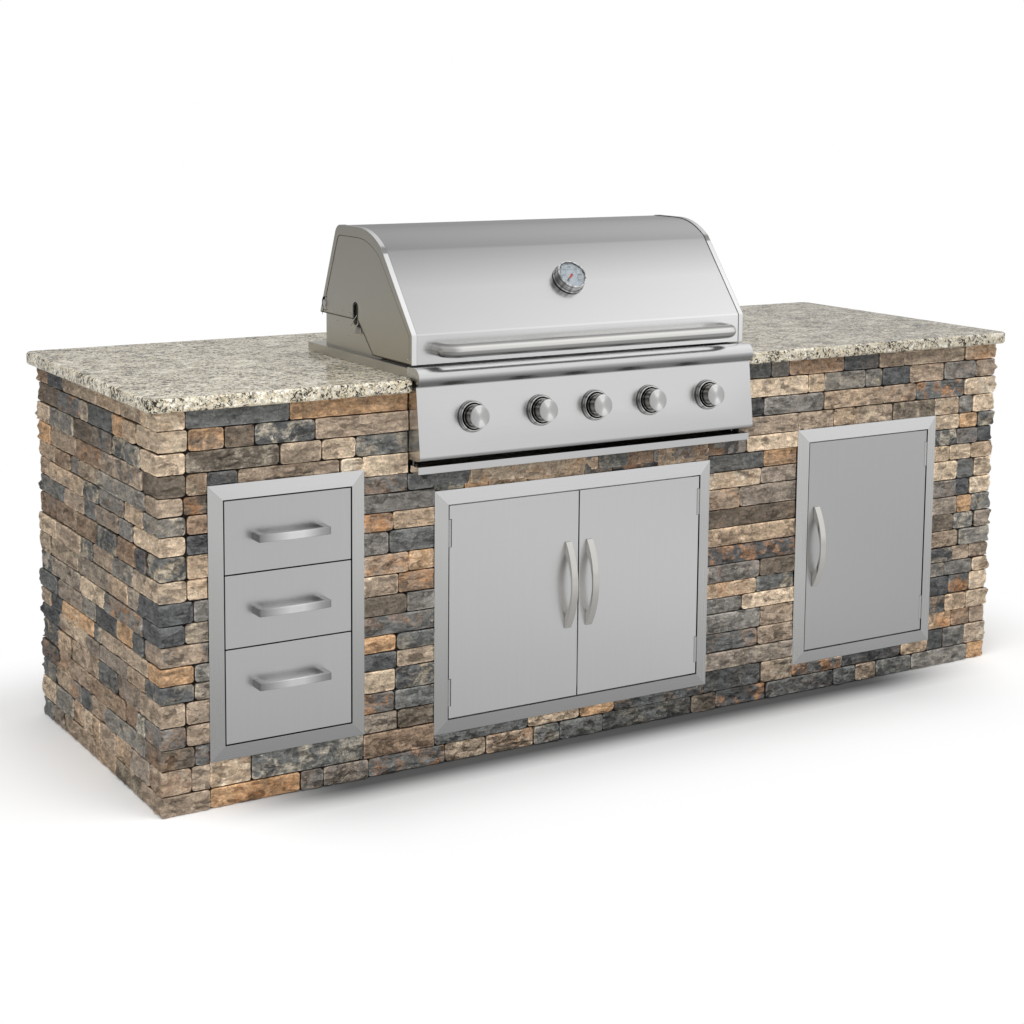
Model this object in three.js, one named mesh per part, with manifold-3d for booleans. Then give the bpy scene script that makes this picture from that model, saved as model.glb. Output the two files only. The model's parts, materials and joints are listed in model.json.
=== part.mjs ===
// Outdoor kitchen island: a stone-clad body on steel frames with a granite top, a built-in
// five-burner gas grill, a three-drawer unit, a pair of doors under the grill and a single door.
// Sizes are in millimetres, +Z is up and the front faces -Y. While the pieces are made, the
// front face of the stone lies at y = 0 and the floor at z = 0; the finished group is then
// moved so that the origin is on the floor under the middle of the whole object.
import * as THREE from 'three';
import { mergeVertices } from 'three/addons/utils/BufferGeometryUtils.js';
import Module from 'manifold-3d';

// Fits
const seat = 0.3;
const runningGap = 0.5;
const overrun = 2;

// Island body and its granite top
const bodyLength = 2420;
const bodyDepth = 813;
const counterHeight = 914;
const slabThickness = 30;
const slabOverhang = 25;
const slabCornerRadius = 28;
const slabEdgeEase = 4;
const wallThickness = 60;
const courseJointHeight = 9;
const courseJointDepth = 6;
// Heights of the nineteen stone courses, from the floor up, as shares of the wall's height.
const courseHeightShares = [46, 56, 46, 48, 52, 40, 40, 46, 46, 48, 47, 53, 43, 43, 41, 48, 48, 48, 42];

// Steel frames inside the body
const channelDepth = 40;
const channelWidth = 38;
const channelSheet = 2;
const trackHeight = 30;

// Grill body: the firebox and its flange on the granite. Heights in the grill are measured
// from the top of the granite.
const panelWidth = 940;
const fireboxInset = 15;
const fireboxFrontY = 8;
const fireboxBackY = 456;
const fireboxBottomZ = -169;
const fireboxSheet = 3;
const flangeRise = 22;
const flangeBackReach = 72;
const flangeBearing = 8;
const cutoutBackGap = 12;
const rearGuardDrop = 41;
const sidePlateTopZ = 116;
const sidePlateToeRun = 85;
const sidePlateHeelRun = 30;
const sidePlateEase = 10;
const spitNotchY = 273;
const spitNotchMouth = 24;
const spitNotchFoot = 12;
const spitNotchDepth = 22;
const hingeEarHalfWidth = 18;
const hingeEarRise = 16;
const hingeEarShoulder = 10;
const ledgeDepth = 10;
const grateLedgeZ = -25;
const heatLedgeZ = -65;
const rackLegFrontY = 304;
const rackLegBackY = 392;
const rackBracketReach = 16;
const rackBracketLength = 18;
const rackBracketZ = 96;

// Control panel
const bullnoseRadius = 22;
const bullnoseY = -27;
const bullnoseEndAngle = 240;
const panelTopZ = 25;
const panelFaceTopY = -34;
const panelFaceTopZ = -16;
const panelFaceBottomY = -55;
const panelLipRadius = 9;
const panelBottomDrop = 15;
const panelLipBackY = -20;
const panelSheet = 3;

// Knobs, bezels, valves and burners
const knobHeightZ = -91;
const knobOffsetShares = [-0.352, -0.157, 0.004, 0.171, 0.356];
const knobRadius = 26.5;
const knobFootLip = 1.5;
const knobFootHeight = 6;
const knobReach = 38;
const knobStandoff = 7;
const knobEdgeRadius = 3;
const knobBoreDepth = 19;
const knobTravel = 4;
const bezelGap = 2.5;
const bezelWidth = 6.5;
const bezelHeight = 11;
const stemRadius = 4;
const stemEndGap = 3;
const panelHoleRadius = 7;
const valveFront = 14;
const valveBack = 36;
const valveBoreDepth = 12;
const valveHalfWidth = 12;
const valveTop = 13;
const valveNoseRadius = 10;
const manifoldDrop = 34;
const manifoldRadius = 10;
const manifoldEndGap = 55;
const inletLength = 40;
const inletRadius = 7;
const nozzleRadius = 3;
const nozzleLength = 12;
const burnerRadius = 15;
const burnerWall = 1.5;
const burnerFrontY = -3;

// Pieces inside the firebox
const heatPlateSheet = 2;
const heatRidgeHeight = 22;
const heatRidgeShare = 0.3;
const grateCount = 3;
const grateGap = 2;
const grateBar = 8;
const grateBarPitch = 20;
const grateBarLift = 6;
const rackRod = 6;
const rackRodCount = 6;
const rackTopZ = 186;
const rackEndGap = 11;

// Drip tray
const trayRailDrop = 46;
const trayRailReach = 12;
const trayRailBackGap = 10;
const trayDepth = 480;
const trayWallHeight = 16;
const traySheet = 2;
const traySideGap = 2;
const trayStripInset = 2;
const trayStripFrontY = -42;
const trayStripHeight = 17;
const trayStripThickness = 3;
const trayStripReturn = 38;

// Hood, its rim and its hinge
const hoodOverhang = 12;
const hoodFrontY = -8;
const hoodBottomGap = 4;
const hoodFoldZ = 97;
const hoodSlopeTopY = 142;
const hoodSlopeTopZ = 283;
const hoodCrownY = 260;
const hoodTopZ = 323;
const hoodTopBackRun = 90;
const hoodTopBackRadius = 30;
const hoodBackReach = 6;
const hoodKinkDrop = 20;
const hoodBackDrop = 4;
const hoodFoldRadius = 8;
const hoodSheet = 3;
const hoodRimWidth = 12;
const hoodRimStep = 1.5;
const capToeRun = 90;
const capHeelRun = 21;
const capHeelDrop = 8;
const spitSlotHalfWidth = 11;
const spitSlotTopZ = 142;
const hingeInset = 19;
const hingeZ = 127;
const hingeRodRadius = 5;
const hingeHeadRadius = 9;
const hingeHeadHeight = 3;
const hingeReliefWidth = 22;
const hingeReliefRise = 63;

// Hood handle and thermometer
const hoodHandleInset = 49;
const hoodHandleRadius = 16;
const hoodHandleStandoff = 52;
const hoodHandleZ = 63;
const hoodHandleElbow = 30;
const thermometerSlopeShare = 0.535;
const thermometerBaseRadius = 41;
const thermometerBaseHeight = 5;
const thermometerRadius = 38;
const thermometerHeight = 24;
const thermometerRimWidth = 4;
const thermometerRimEase = 2;
const thermometerRecess = 6;
const probeRadius = 3;
const probeLength = 42;
const needleLength = 25;
const needleTail = 7;
const needleWidth = 3;
const needleThickness = 1.2;
const needleHubRadius = 4;
const needleHubHeight = 3;
const needleRestAngle = -50;

// Mitred frames, doors and drawers. The end margins lie between a frame and its end of the
// body, and the share divides what is left over between the two sides of the grill.
const frameBorder = 33;
const frameLip = 2;
const frameProud = 8;
const sleeveSheet = 3;
const sleeveDepth = 62;
const sleeveClearance = 2;
const stopReach = 10;
const stopSheet = 2;
const doorGap = 3;
const doorProud = 7;
const doorThickness = 18;
const doorSheet = 2;
const drawerEndMargin = 111;
const singleEndMargin = 214.5;
const grillLeftGapShare = 0.37;
const drawerFrameWidth = 373;
const drawerFrameBottomZ = 106;
const drawerFrameTopDrop = 168;
const doubleFrameWidth = 783;
const doubleFrameOffset = -12;
const doubleFrameBottomZ = 72;
const doubleFrameTopGap = 46;
const singleFrameWidth = 477;
const singleFrameBottomZ = 78;
const singleFrameTopDrop = 185;
// Heights of the drawer fronts, from the bottom up, as shares of the opening.
const drawerHeightShares = [213, 164, 164];
const housingDepth = 482;
const runnerReach = 12;
const runnerHeight = 8;
const runnerRise = 14;
const drawerBoxGap = 4;
const drawerBackGap = 28;
const drawerBoxDrop = 30;
const knuckleRadius = 4;
const knuckleHeight = 65;
const knuckleInset = 4.5;
const knuckleSetback = 3;
const knuckleLeaf = 2.4;
const knuckleTopDrop = 35;
const knuckleBottomRise = 32;

// Handles of the drawers and doors
const pullLength = 172;
const pullHeight = 17;
const pullStandoff = 35;
const pullBow = 4;
const pullThickness = 7;
const pullArm = 16;
const pullCornerRadius = 4;
const pullDrop = 82;
const bowLength = 212;
const bowWidth = 18.5;
const bowStandoff = 33;
const bowTip = 3;
const bowThickness = 6;
const bowFoot = 30;
const bowInset = 30;
const doubleBowRise = 25;

// Smoothness of round pieces
const fineSides = 24;
const roundSides = 16;
const smallSides = 10;
const arcSteps = 7;
const cornerSteps = 3;

// Finishes
const brushedSteel = new THREE.MeshStandardMaterial({ color: 0xc3c4c5, roughness: 0.34, metalness: 1 });
const hoodSteel = new THREE.MeshStandardMaterial({ color: 0xcfd0d1, roughness: 0.3, metalness: 1 });
const polishedSteel = new THREE.MeshStandardMaterial({ color: 0xd8d8d6, roughness: 0.14, metalness: 1 });
const handleSteel = new THREE.MeshStandardMaterial({ color: 0xb9b8b4, roughness: 0.24, metalness: 1 });
const hotSteel = new THREE.MeshStandardMaterial({ color: 0x9c968c, roughness: 0.42, metalness: 1 });
const galvanised = new THREE.MeshStandardMaterial({ color: 0xa4a9ab, roughness: 0.5, metalness: 0.9 });
const brass = new THREE.MeshStandardMaterial({ color: 0xb8924a, roughness: 0.35, metalness: 1 });
const granite = new THREE.MeshStandardMaterial({ color: 0xc8c2b4, roughness: 0.22, metalness: 0 });
const splitStone = new THREE.MeshStandardMaterial({ color: 0x94836e, roughness: 0.9, metalness: 0 });
const needleRed = new THREE.MeshStandardMaterial({ color: 0xa8382a, roughness: 0.5, metalness: 0 });

const wasm = await Module();
wasm.setup();

// Turns a closed three.js geometry into a solid that can be joined and cut.
function toSolid(geometry) {
  const bare = geometry.clone();
  bare.deleteAttribute('normal');
  bare.deleteAttribute('uv');
  const merged = mergeVertices(bare);
  return new wasm.Manifold(new wasm.Mesh({
    numProp: 3,
    vertProperties: new Float32Array(merged.attributes.position.array),
    triVerts: new Uint32Array(merged.index.array),
  }));
}

function toGeometry(solid) {
  const mesh = solid.getMesh();
  const geometry = new THREE.BufferGeometry();
  geometry.setAttribute('position', new THREE.BufferAttribute(mesh.vertProperties, mesh.numProp));
  geometry.setIndex(new THREE.BufferAttribute(mesh.triVerts, 1));
  return geometry;
}

function join(...pieces) {
  return toGeometry(pieces.map(toSolid).reduce((whole, piece) => whole.add(piece)));
}

function cut(piece, ...cutters) {
  return toGeometry(cutters.map(toSolid).reduce((rest, cutter) => rest.subtract(cutter), toSolid(piece)));
}

function common(first, second) {
  return toGeometry(toSolid(first).intersect(toSolid(second)));
}

// A rectangular block between its lowest and highest corners.
function block(low, high) {
  const size = high.map((value, i) => value - low[i]);
  const middle = high.map((value, i) => (value + low[i]) / 2);
  return new THREE.BoxGeometry(...size).translate(...middle);
}

function extruded(outline, depth) {
  const shape = new THREE.Shape(outline.map(([u, v]) => new THREE.Vector2(u, v)));
  return new THREE.ExtrudeGeometry(shape, { depth, bevelEnabled: false });
}

const axisX = new THREE.Vector3(1, 0, 0);
const axisY = new THREE.Vector3(0, 1, 0);
const axisZ = new THREE.Vector3(0, 0, 1);

// An outline of [y, z] points drawn out along X.
function alongX(outline, from, to) {
  const turn = new THREE.Matrix4().makeBasis(axisY, axisZ, axisX);
  return extruded(outline, to - from).applyMatrix4(turn).translate(from, 0, 0);
}

// An outline of [x, z] points drawn out along Y.
function alongY(outline, from, to) {
  const turn = new THREE.Matrix4().makeBasis(axisX, axisZ, axisY.clone().negate());
  return extruded(outline, to - from).applyMatrix4(turn).translate(0, to, 0);
}

// An outline of [x, y] points drawn up along Z.
function alongZ(outline, from, to) {
  return extruded(outline, to - from).translate(0, 0, from);
}

// A solid turned about its own Y axis, from [radius, height] points that start and end on it.
function turned(profile, sides) {
  return new THREE.LatheGeometry(profile.map(([r, h]) => new THREE.Vector2(r, h)), sides);
}

// A round bar from one point to another along X.
function barX(radius, from, to, y, z, sides) {
  const bar = new THREE.CylinderGeometry(radius, radius, to - from, sides);
  return bar.rotateZ(Math.PI / 2).translate((from + to) / 2, y, z);
}

function barY(radius, from, to, x, z, sides) {
  const bar = new THREE.CylinderGeometry(radius, radius, to - from, sides);
  return bar.translate(x, (from + to) / 2, z);
}

function barZ(radius, from, to, x, y, sides) {
  const bar = new THREE.CylinderGeometry(radius, radius, to - from, sides);
  return bar.rotateX(Math.PI / 2).translate(x, y, (from + to) / 2);
}

function arc(centre, radius, fromDegrees, toDegrees, steps) {
  return Array.from({ length: steps + 1 }, (_, i) => {
    const angle = THREE.MathUtils.degToRad(fromDegrees + (toDegrees - fromDegrees) * i / steps);
    return [centre[0] + radius * Math.cos(angle), centre[1] + radius * Math.sin(angle)];
  });
}

// The arc over a chord from -half to +half that rises from edge to middle.
function bow(half, edge, middle, steps) {
  const rise = middle - edge;
  const radius = (half * half + rise * rise) / (2 * rise);
  return Array.from({ length: steps + 1 }, (_, i) => {
    const along = half * (2 * i / steps - 1);
    return [along, middle - radius + Math.sign(radius) * Math.sqrt(radius * radius - along * along)];
  });
}

// Rounds one corner of an open path between its two neighbours.
function roundedCorner(before, corner, after, radius, steps) {
  const from = new THREE.Vector2(before[0] - corner[0], before[1] - corner[1]).normalize();
  const to = new THREE.Vector2(after[0] - corner[0], after[1] - corner[1]).normalize();
  const half = Math.acos(from.dot(to)) / 2;
  const middle = from.clone().add(to).normalize().multiplyScalar(radius / Math.sin(half));
  const start = from.clone().multiplyScalar(radius / Math.tan(half)).sub(middle);
  const end = to.clone().multiplyScalar(radius / Math.tan(half)).sub(middle);
  const turn = Math.atan2(start.cross(end), start.dot(end));
  return Array.from({ length: steps + 1 }, (_, i) => {
    const spoke = start.clone().rotateAround(new THREE.Vector2(), turn * i / steps);
    return [corner[0] + middle.x + spoke.x, corner[1] + middle.y + spoke.y];
  });
}

// Moves an open path sideways, to the left of its direction, with mitred corners.
function offsetPath(path, distance) {
  const leftOf = (a, b) => new THREE.Vector2(a[1] - b[1], b[0] - a[0]).normalize();
  return path.map((point, i) => {
    const before = leftOf(path[Math.max(i - 1, 0)], path[Math.max(i, 1)]);
    const after = leftOf(path[Math.min(i, path.length - 2)], path[Math.min(i + 1, path.length - 1)]);
    const mitre = before.clone().add(after).normalize();
    const reach = distance / mitre.dot(before);
    return [point[0] + mitre.x * reach, point[1] + mitre.y * reach];
  });
}

// The section of a sheet that follows a path, between two distances to the left of it.
function sheetSection(path, near, far) {
  return [...offsetPath(path, near), ...offsetPath(path, far).reverse()];
}

// A mitred frame round a rectangle: each section point is its inset from the outer edge and
// how far it stands proud of the stone.
function mitredFrame({ centreX, bottomZ, width, height }, section) {
  const corners = [[-1, -1], [1, -1], [1, 1], [-1, 1]];
  const positions = corners.flatMap(([sideX, sideZ]) => section.flatMap(([inset, proud]) => [
    centreX + sideX * (width / 2 - inset),
    -proud,
    bottomZ + height / 2 + sideZ * (height / 2 - inset),
  ]));
  const count = section.length;
  const faces = corners.flatMap((_, i) => section.flatMap((__, j) => {
    const nextCorner = (i + 1) % corners.length;
    const nextPoint = (j + 1) % count;
    const a = i * count + j;
    const b = nextCorner * count + j;
    const c = nextCorner * count + nextPoint;
    const d = i * count + nextPoint;
    return [a, b, c, a, c, d];
  }));
  const geometry = new THREE.BufferGeometry();
  geometry.setAttribute('position', new THREE.Float32BufferAttribute(positions, 3));
  geometry.setIndex(faces);
  return geometry;
}

// A curve that visits its points one step at a time, so that a tube has a ring at each.
class StationCurve extends THREE.Curve {
  constructor(stations) {
    super();
    this.stations = stations;
  }

  getUtoTmapping(u) {
    return u;
  }

  getPoint(t) {
    const place = t * (this.stations.length - 1);
    const i = Math.min(Math.max(Math.floor(place), 0), this.stations.length - 2);
    return this.stations[i].clone().lerp(this.stations[i + 1], place - i);
  }
}

function tubeThrough(stations, radius, sides) {
  const circle = new THREE.Shape(arc([0, 0], radius, 0, 360, sides).slice(1)
    .map(([u, v]) => new THREE.Vector2(u, v)));
  const extrudePath = new StationCurve(stations);
  return new THREE.ExtrudeGeometry(circle, { steps: stations.length - 1, extrudePath });
}

function part(name, geometry, material) {
  const mesh = new THREE.Mesh(geometry, material);
  mesh.name = name;
  return mesh;
}

// Heights and places that several pieces share
const slabBottomZ = counterHeight - slabThickness;
const wallTopZ = slabBottomZ - seat;
const wallLeftX = -bodyLength / 2;
const wallRightX = bodyLength / 2;
const innerLeftX = wallLeftX + wallThickness;
const innerRightX = wallRightX - wallThickness;
const innerBackY = bodyDepth - wallThickness;
const panelHalf = panelWidth / 2;
const fireboxHalf = panelHalf - fireboxInset;
const fireboxInnerHalf = fireboxHalf - fireboxSheet;
const cutoutHalf = panelHalf - flangeBearing;
const trayRailTopZ = fireboxBottomZ - trayRailDrop;
const trayRailBottomZ = trayRailTopZ - fireboxSheet;
const hingeY = fireboxBackY - hingeInset;

// The bay that the grill stands in, between the two frames beside it.
const bayNotchHalf = panelHalf + sleeveClearance;
const bayNotchBottomZ = counterHeight + trayRailBottomZ - sleeveClearance;
const drawerFrameLeftX = wallLeftX + drawerEndMargin;
const singleFrameRightX = wallRightX - singleEndMargin;
const drawerFrameRightX = drawerFrameLeftX + drawerFrameWidth;
const singleFrameLeftX = singleFrameRightX - singleFrameWidth;
const spaceBesideGrill = singleFrameLeftX - drawerFrameRightX - 2 * bayNotchHalf;
const grillCentreX = drawerFrameRightX + grillLeftGapShare * spaceBesideGrill + bayNotchHalf;

const drawerFrame = {
  centreX: drawerFrameLeftX + drawerFrameWidth / 2,
  bottomZ: drawerFrameBottomZ,
  width: drawerFrameWidth,
  height: slabBottomZ - drawerFrameTopDrop - drawerFrameBottomZ,
};
const doubleFrame = {
  centreX: grillCentreX + doubleFrameOffset,
  bottomZ: doubleFrameBottomZ,
  width: doubleFrameWidth,
  height: bayNotchBottomZ - doubleFrameTopGap - doubleFrameBottomZ,
};
const singleFrame = {
  centreX: singleFrameRightX - singleFrameWidth / 2,
  bottomZ: singleFrameBottomZ,
  width: singleFrameWidth,
  height: slabBottomZ - singleFrameTopDrop - singleFrameBottomZ,
};
const drawerOpening = openingOf(drawerFrame);
const doubleOpening = openingOf(doubleFrame);
const singleOpening = openingOf(singleFrame);

// The clear rectangle inside a mitred frame.
function openingOf({ centreX, bottomZ, width, height }) {
  return {
    left: centreX - width / 2 + frameBorder,
    right: centreX + width / 2 - frameBorder,
    bottom: bottomZ + frameBorder,
    top: bottomZ + height - frameBorder,
  };
}

// The stone face of a wall, from the floor up, with a V joint between two courses. u is the
// place of the face across the wall and inward points into it.
function coursedFace(u, inward) {
  const total = courseHeightShares.reduce((sum, share) => sum + share);
  const points = [[u, 0]];
  let height = 0;
  for (const share of courseHeightShares.slice(0, -1)) {
    height += wallTopZ * share / total;
    points.push([u, height - courseJointHeight / 2]);
    points.push([u + inward * courseJointDepth, height]);
    points.push([u, height + courseJointHeight / 2]);
  }
  points.push([u, wallTopZ]);
  return points;
}

// The hole in the stone that a frame's sleeve goes through.
function sleeveHole(opening) {
  const margin = sleeveSheet + sleeveClearance;
  return block(
    [opening.left - margin, -overrun, opening.bottom - margin],
    [opening.right + margin, wallThickness + overrun, opening.top + margin],
  );
}

// A long wall of the body, whose two ends are the corners that show at the sides.
function longWall(faceY, inward) {
  const backY = faceY + inward * wallThickness;
  const across = [...coursedFace(faceY, inward), [backY, wallTopZ], [backY, 0]];
  const along = [...coursedFace(wallLeftX, 1), ...coursedFace(wallRightX, -1).reverse()];
  const low = Math.min(faceY, backY);
  const high = Math.max(faceY, backY);
  return common(alongX(across, wallLeftX, wallRightX), alongY(along, low, high));
}

function sideWall(faceX, inward) {
  const backX = faceX + inward * wallThickness;
  const across = [...coursedFace(faceX, inward), [backX, wallTopZ], [backX, 0]];
  return alongY(across, wallThickness + seat, innerBackY - seat);
}

function countertop() {
  const left = wallLeftX - slabOverhang;
  const right = wallRightX + slabOverhang;
  const front = -slabOverhang;
  const back = bodyDepth + slabOverhang;
  const radius = slabCornerRadius;
  const notchBack = fireboxBackY + cutoutBackGap;
  const frontNotchHalf = panelHalf + seat + slabEdgeEase;
  const outline = [
    ...arc([left + radius, back - radius], radius, 90, 180, arcSteps),
    ...arc([left + radius, front + radius], radius, 180, 270, arcSteps),
    [grillCentreX - frontNotchHalf, front],
    [grillCentreX - frontNotchHalf, fireboxFrontY],
    [grillCentreX - cutoutHalf, fireboxFrontY],
    [grillCentreX - cutoutHalf, notchBack],
    [grillCentreX + cutoutHalf, notchBack],
    [grillCentreX + cutoutHalf, fireboxFrontY],
    [grillCentreX + frontNotchHalf, fireboxFrontY],
    [grillCentreX + frontNotchHalf, front],
    ...arc([right - radius, front + radius], radius, 270, 360, arcSteps),
    ...arc([right - radius, back - radius], radius, 0, 90, arcSteps),
  ];
  const shape = new THREE.Shape(outline.map(([x, y]) => new THREE.Vector2(x, y)));
  return new THREE.ExtrudeGeometry(shape, {
    depth: slabThickness - 2 * slabEdgeEase,
    bevelThickness: slabEdgeEase,
    bevelSize: slabEdgeEase,
    bevelOffset: -slabEdgeEase,
    bevelSegments: 1,
  }).translate(0, 0, slabBottomZ + slabEdgeEase);
}

function stoneAndTop() {
  const group = new THREE.Group();
  const front = cut(
    longWall(0, 1),
    sleeveHole(drawerOpening),
    sleeveHole(doubleOpening),
    sleeveHole(singleOpening),
    block(
      [grillCentreX - bayNotchHalf, -overrun, bayNotchBottomZ],
      [grillCentreX + bayNotchHalf, wallThickness + overrun, wallTopZ + overrun],
    ),
  );
  group.add(part('countertop', countertop(), granite));
  group.add(part('stone_wall_front', front, splitStone));
  group.add(part('stone_wall_back', longWall(bodyDepth, -1), splitStone));
  group.add(part('stone_wall_left', sideWall(wallLeftX, 1), splitStone));
  group.add(part('stone_wall_right', sideWall(wallRightX, -1), splitStone));
  return group;
}

// Floor tracks along the long walls, and four upright frames of folded channel that stand in
// them: one at each end of the body and one at each side of the grill bay.
const trackWidth = channelDepth + 2 * seat + 2 * channelSheet;
const frontTrackY = wallThickness + seat;
const backTrackY = innerBackY - seat - trackWidth;
const uprightFrontY = frontTrackY + channelSheet + seat;
const uprightBackY = backTrackY + channelSheet + seat + channelDepth;

function floorTrack(frontY) {
  const backY = frontY + trackWidth;
  const section = [
    [frontY, 0],
    [backY, 0],
    [backY, trackHeight],
    [backY - channelSheet, trackHeight],
    [backY - channelSheet, channelSheet],
    [frontY + channelSheet, channelSheet],
    [frontY + channelSheet, trackHeight],
    [frontY, trackHeight],
  ];
  return alongX(section, innerLeftX + seat, innerRightX - seat);
}

// A portal of channel in the YZ plane, its web at webX and its lips towards lipSide.
function channelPortal(webX, lipSide) {
  const footZ = channelSheet + seat;
  const portal = (inset) => [
    [uprightFrontY + inset, footZ + inset],
    [uprightFrontY + channelDepth - inset, footZ + inset],
    [uprightFrontY + channelDepth - inset, wallTopZ - channelDepth + inset],
    [uprightBackY - channelDepth + inset, wallTopZ - channelDepth + inset],
    [uprightBackY - channelDepth + inset, footZ + inset],
    [uprightBackY - inset, footZ + inset],
    [uprightBackY - inset, wallTopZ - inset],
    [uprightFrontY + inset, wallTopZ - inset],
  ];
  const edges = (near, far) => [Math.min(near, far), Math.max(near, far)];
  const whole = alongX(portal(0), ...edges(webX, webX + lipSide * channelWidth));
  const hollow = edges(webX + lipSide * channelSheet, webX + lipSide * (channelWidth + overrun));
  return cut(whole, alongX(portal(channelSheet), ...hollow));
}

function steelFrames() {
  const group = new THREE.Group();
  const bayWeb = bayNotchHalf + sleeveClearance;
  group.add(part('base_track_front', floorTrack(frontTrackY), galvanised));
  group.add(part('base_track_back', floorTrack(backTrackY), galvanised));
  group.add(part('end_frame_left', channelPortal(innerLeftX + seat, 1), galvanised));
  group.add(part('end_frame_right', channelPortal(innerRightX - seat, -1), galvanised));
  group.add(part('bay_frame_left', channelPortal(grillCentreX - bayWeb, -1), galvanised));
  group.add(part('bay_frame_right', channelPortal(grillCentreX + bayWeb, 1), galvanised));
  return group;
}

// The inclined face of the control panel and the axis of its knobs and valves.
const panelBottomZ = fireboxBottomZ - panelBottomDrop;
const panelTilt = Math.atan((panelFaceTopY - panelFaceBottomY) / (panelFaceTopZ - panelBottomZ));
const knobFaceY = panelFaceTopY - (panelFaceTopZ - knobHeightZ) * Math.tan(panelTilt);
const knobOffsets = knobOffsetShares.map((share) => share * panelWidth);
const burnerZ = knobHeightZ + (knobFaceY - fireboxFrontY) * Math.tan(panelTilt);

// Stands a piece made along its own Y axis on the panel, pointing out along the knob's axis.
function onPanel(x) {
  const turn = new THREE.Matrix4().makeRotationX(Math.PI - panelTilt);
  return turn.setPosition(x, knobFaceY, knobHeightZ);
}

function controlPanel() {
  const nose = [bullnoseY, panelTopZ - bullnoseRadius];
  const backY = fireboxFrontY - seat;
  const lip = roundedCorner(
    [panelFaceTopY, panelFaceTopZ],
    [panelFaceBottomY, panelBottomZ],
    [panelLipBackY, panelBottomZ],
    panelLipRadius,
    cornerSteps,
  );
  const path = [
    [backY, panelTopZ],
    ...arc(nose, bullnoseRadius, 90, bullnoseEndAngle, arcSteps),
    [panelFaceTopY, panelFaceTopZ],
    ...lip,
    [panelLipBackY, panelBottomZ],
  ];
  const sheet = alongX(sheetSection(path, 0, panelSheet), -panelHalf, panelHalf);
  const end = [...path, [backY, panelBottomZ]];
  const holes = knobOffsets.map((x) => new THREE.CylinderGeometry(
    panelHoleRadius, panelHoleRadius, 2 * (panelSheet + overrun), smallSides,
  ).applyMatrix4(onPanel(x)));
  return cut(
    join(
      sheet,
      alongX(end, -panelHalf, -panelHalf + panelSheet),
      alongX(end, panelHalf - panelSheet, panelHalf),
    ),
    ...holes,
  );
}

// One side of the firebox, with the tray rail's web below it and the hood's hinge ear above.
function fireboxSide(side) {
  const heelY = spitNotchY - sidePlateHeelRun;
  const outline = [
    [fireboxFrontY, trayRailBottomZ],
    [fireboxBackY, trayRailBottomZ],
    [fireboxBackY, hingeZ - hingeEarShoulder],
    [hingeY + hingeEarShoulder, hingeZ + hingeEarShoulder],
    [hingeY, hingeZ + hingeEarRise],
    [hingeY - hingeEarHalfWidth, hingeZ + hingeEarShoulder],
    [hingeY - hingeEarHalfWidth, sidePlateTopZ],
    [spitNotchY + spitNotchMouth / 2, sidePlateTopZ],
    [spitNotchY + spitNotchFoot / 2, sidePlateTopZ - spitNotchDepth],
    [spitNotchY - spitNotchFoot / 2, sidePlateTopZ - spitNotchDepth],
    [spitNotchY - spitNotchMouth / 2, sidePlateTopZ],
    [heelY + sidePlateEase, sidePlateTopZ],
    [heelY, sidePlateTopZ - sidePlateEase],
    [heelY - sidePlateToeRun, flangeRise],
    [fireboxFrontY, flangeRise],
  ];
  const inner = side * fireboxInnerHalf;
  const outer = side * fireboxHalf;
  return alongX(outline, Math.min(inner, outer), Math.max(inner, outer));
}

// A ledge folded inwards from the front and the back of the firebox.
function fireboxLedges(topZ) {
  const bottomZ = topZ - fireboxSheet;
  const frontY = fireboxFrontY + fireboxSheet;
  const backY = fireboxBackY - fireboxSheet;
  return [
    block([-fireboxHalf, fireboxFrontY, bottomZ], [fireboxHalf, frontY + ledgeDepth, topZ]),
    block([-fireboxHalf, backY - ledgeDepth, bottomZ], [fireboxHalf, fireboxBackY, topZ]),
  ];
}

// What the firebox carries at each side: the tray rail and the two brackets of the rack.
function sideLedges(side) {
  const wall = side * fireboxHalf;
  const ledge = (reach, frontY, backY, topZ) => {
    const tip = side * (fireboxInnerHalf - reach);
    return block(
      [Math.min(wall, tip), frontY, topZ - fireboxSheet],
      [Math.max(wall, tip), backY, topZ],
    );
  };
  const halfBracket = rackBracketLength / 2;
  const bracket = (y) => ledge(rackBracketReach, y - halfBracket, y + halfBracket, rackBracketZ);
  return [
    ledge(trayRailReach, fireboxFrontY, fireboxBackY - trayRailBackGap, trayRailTopZ),
    bracket(rackLegFrontY),
    bracket(rackLegBackY),
  ];
}

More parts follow.
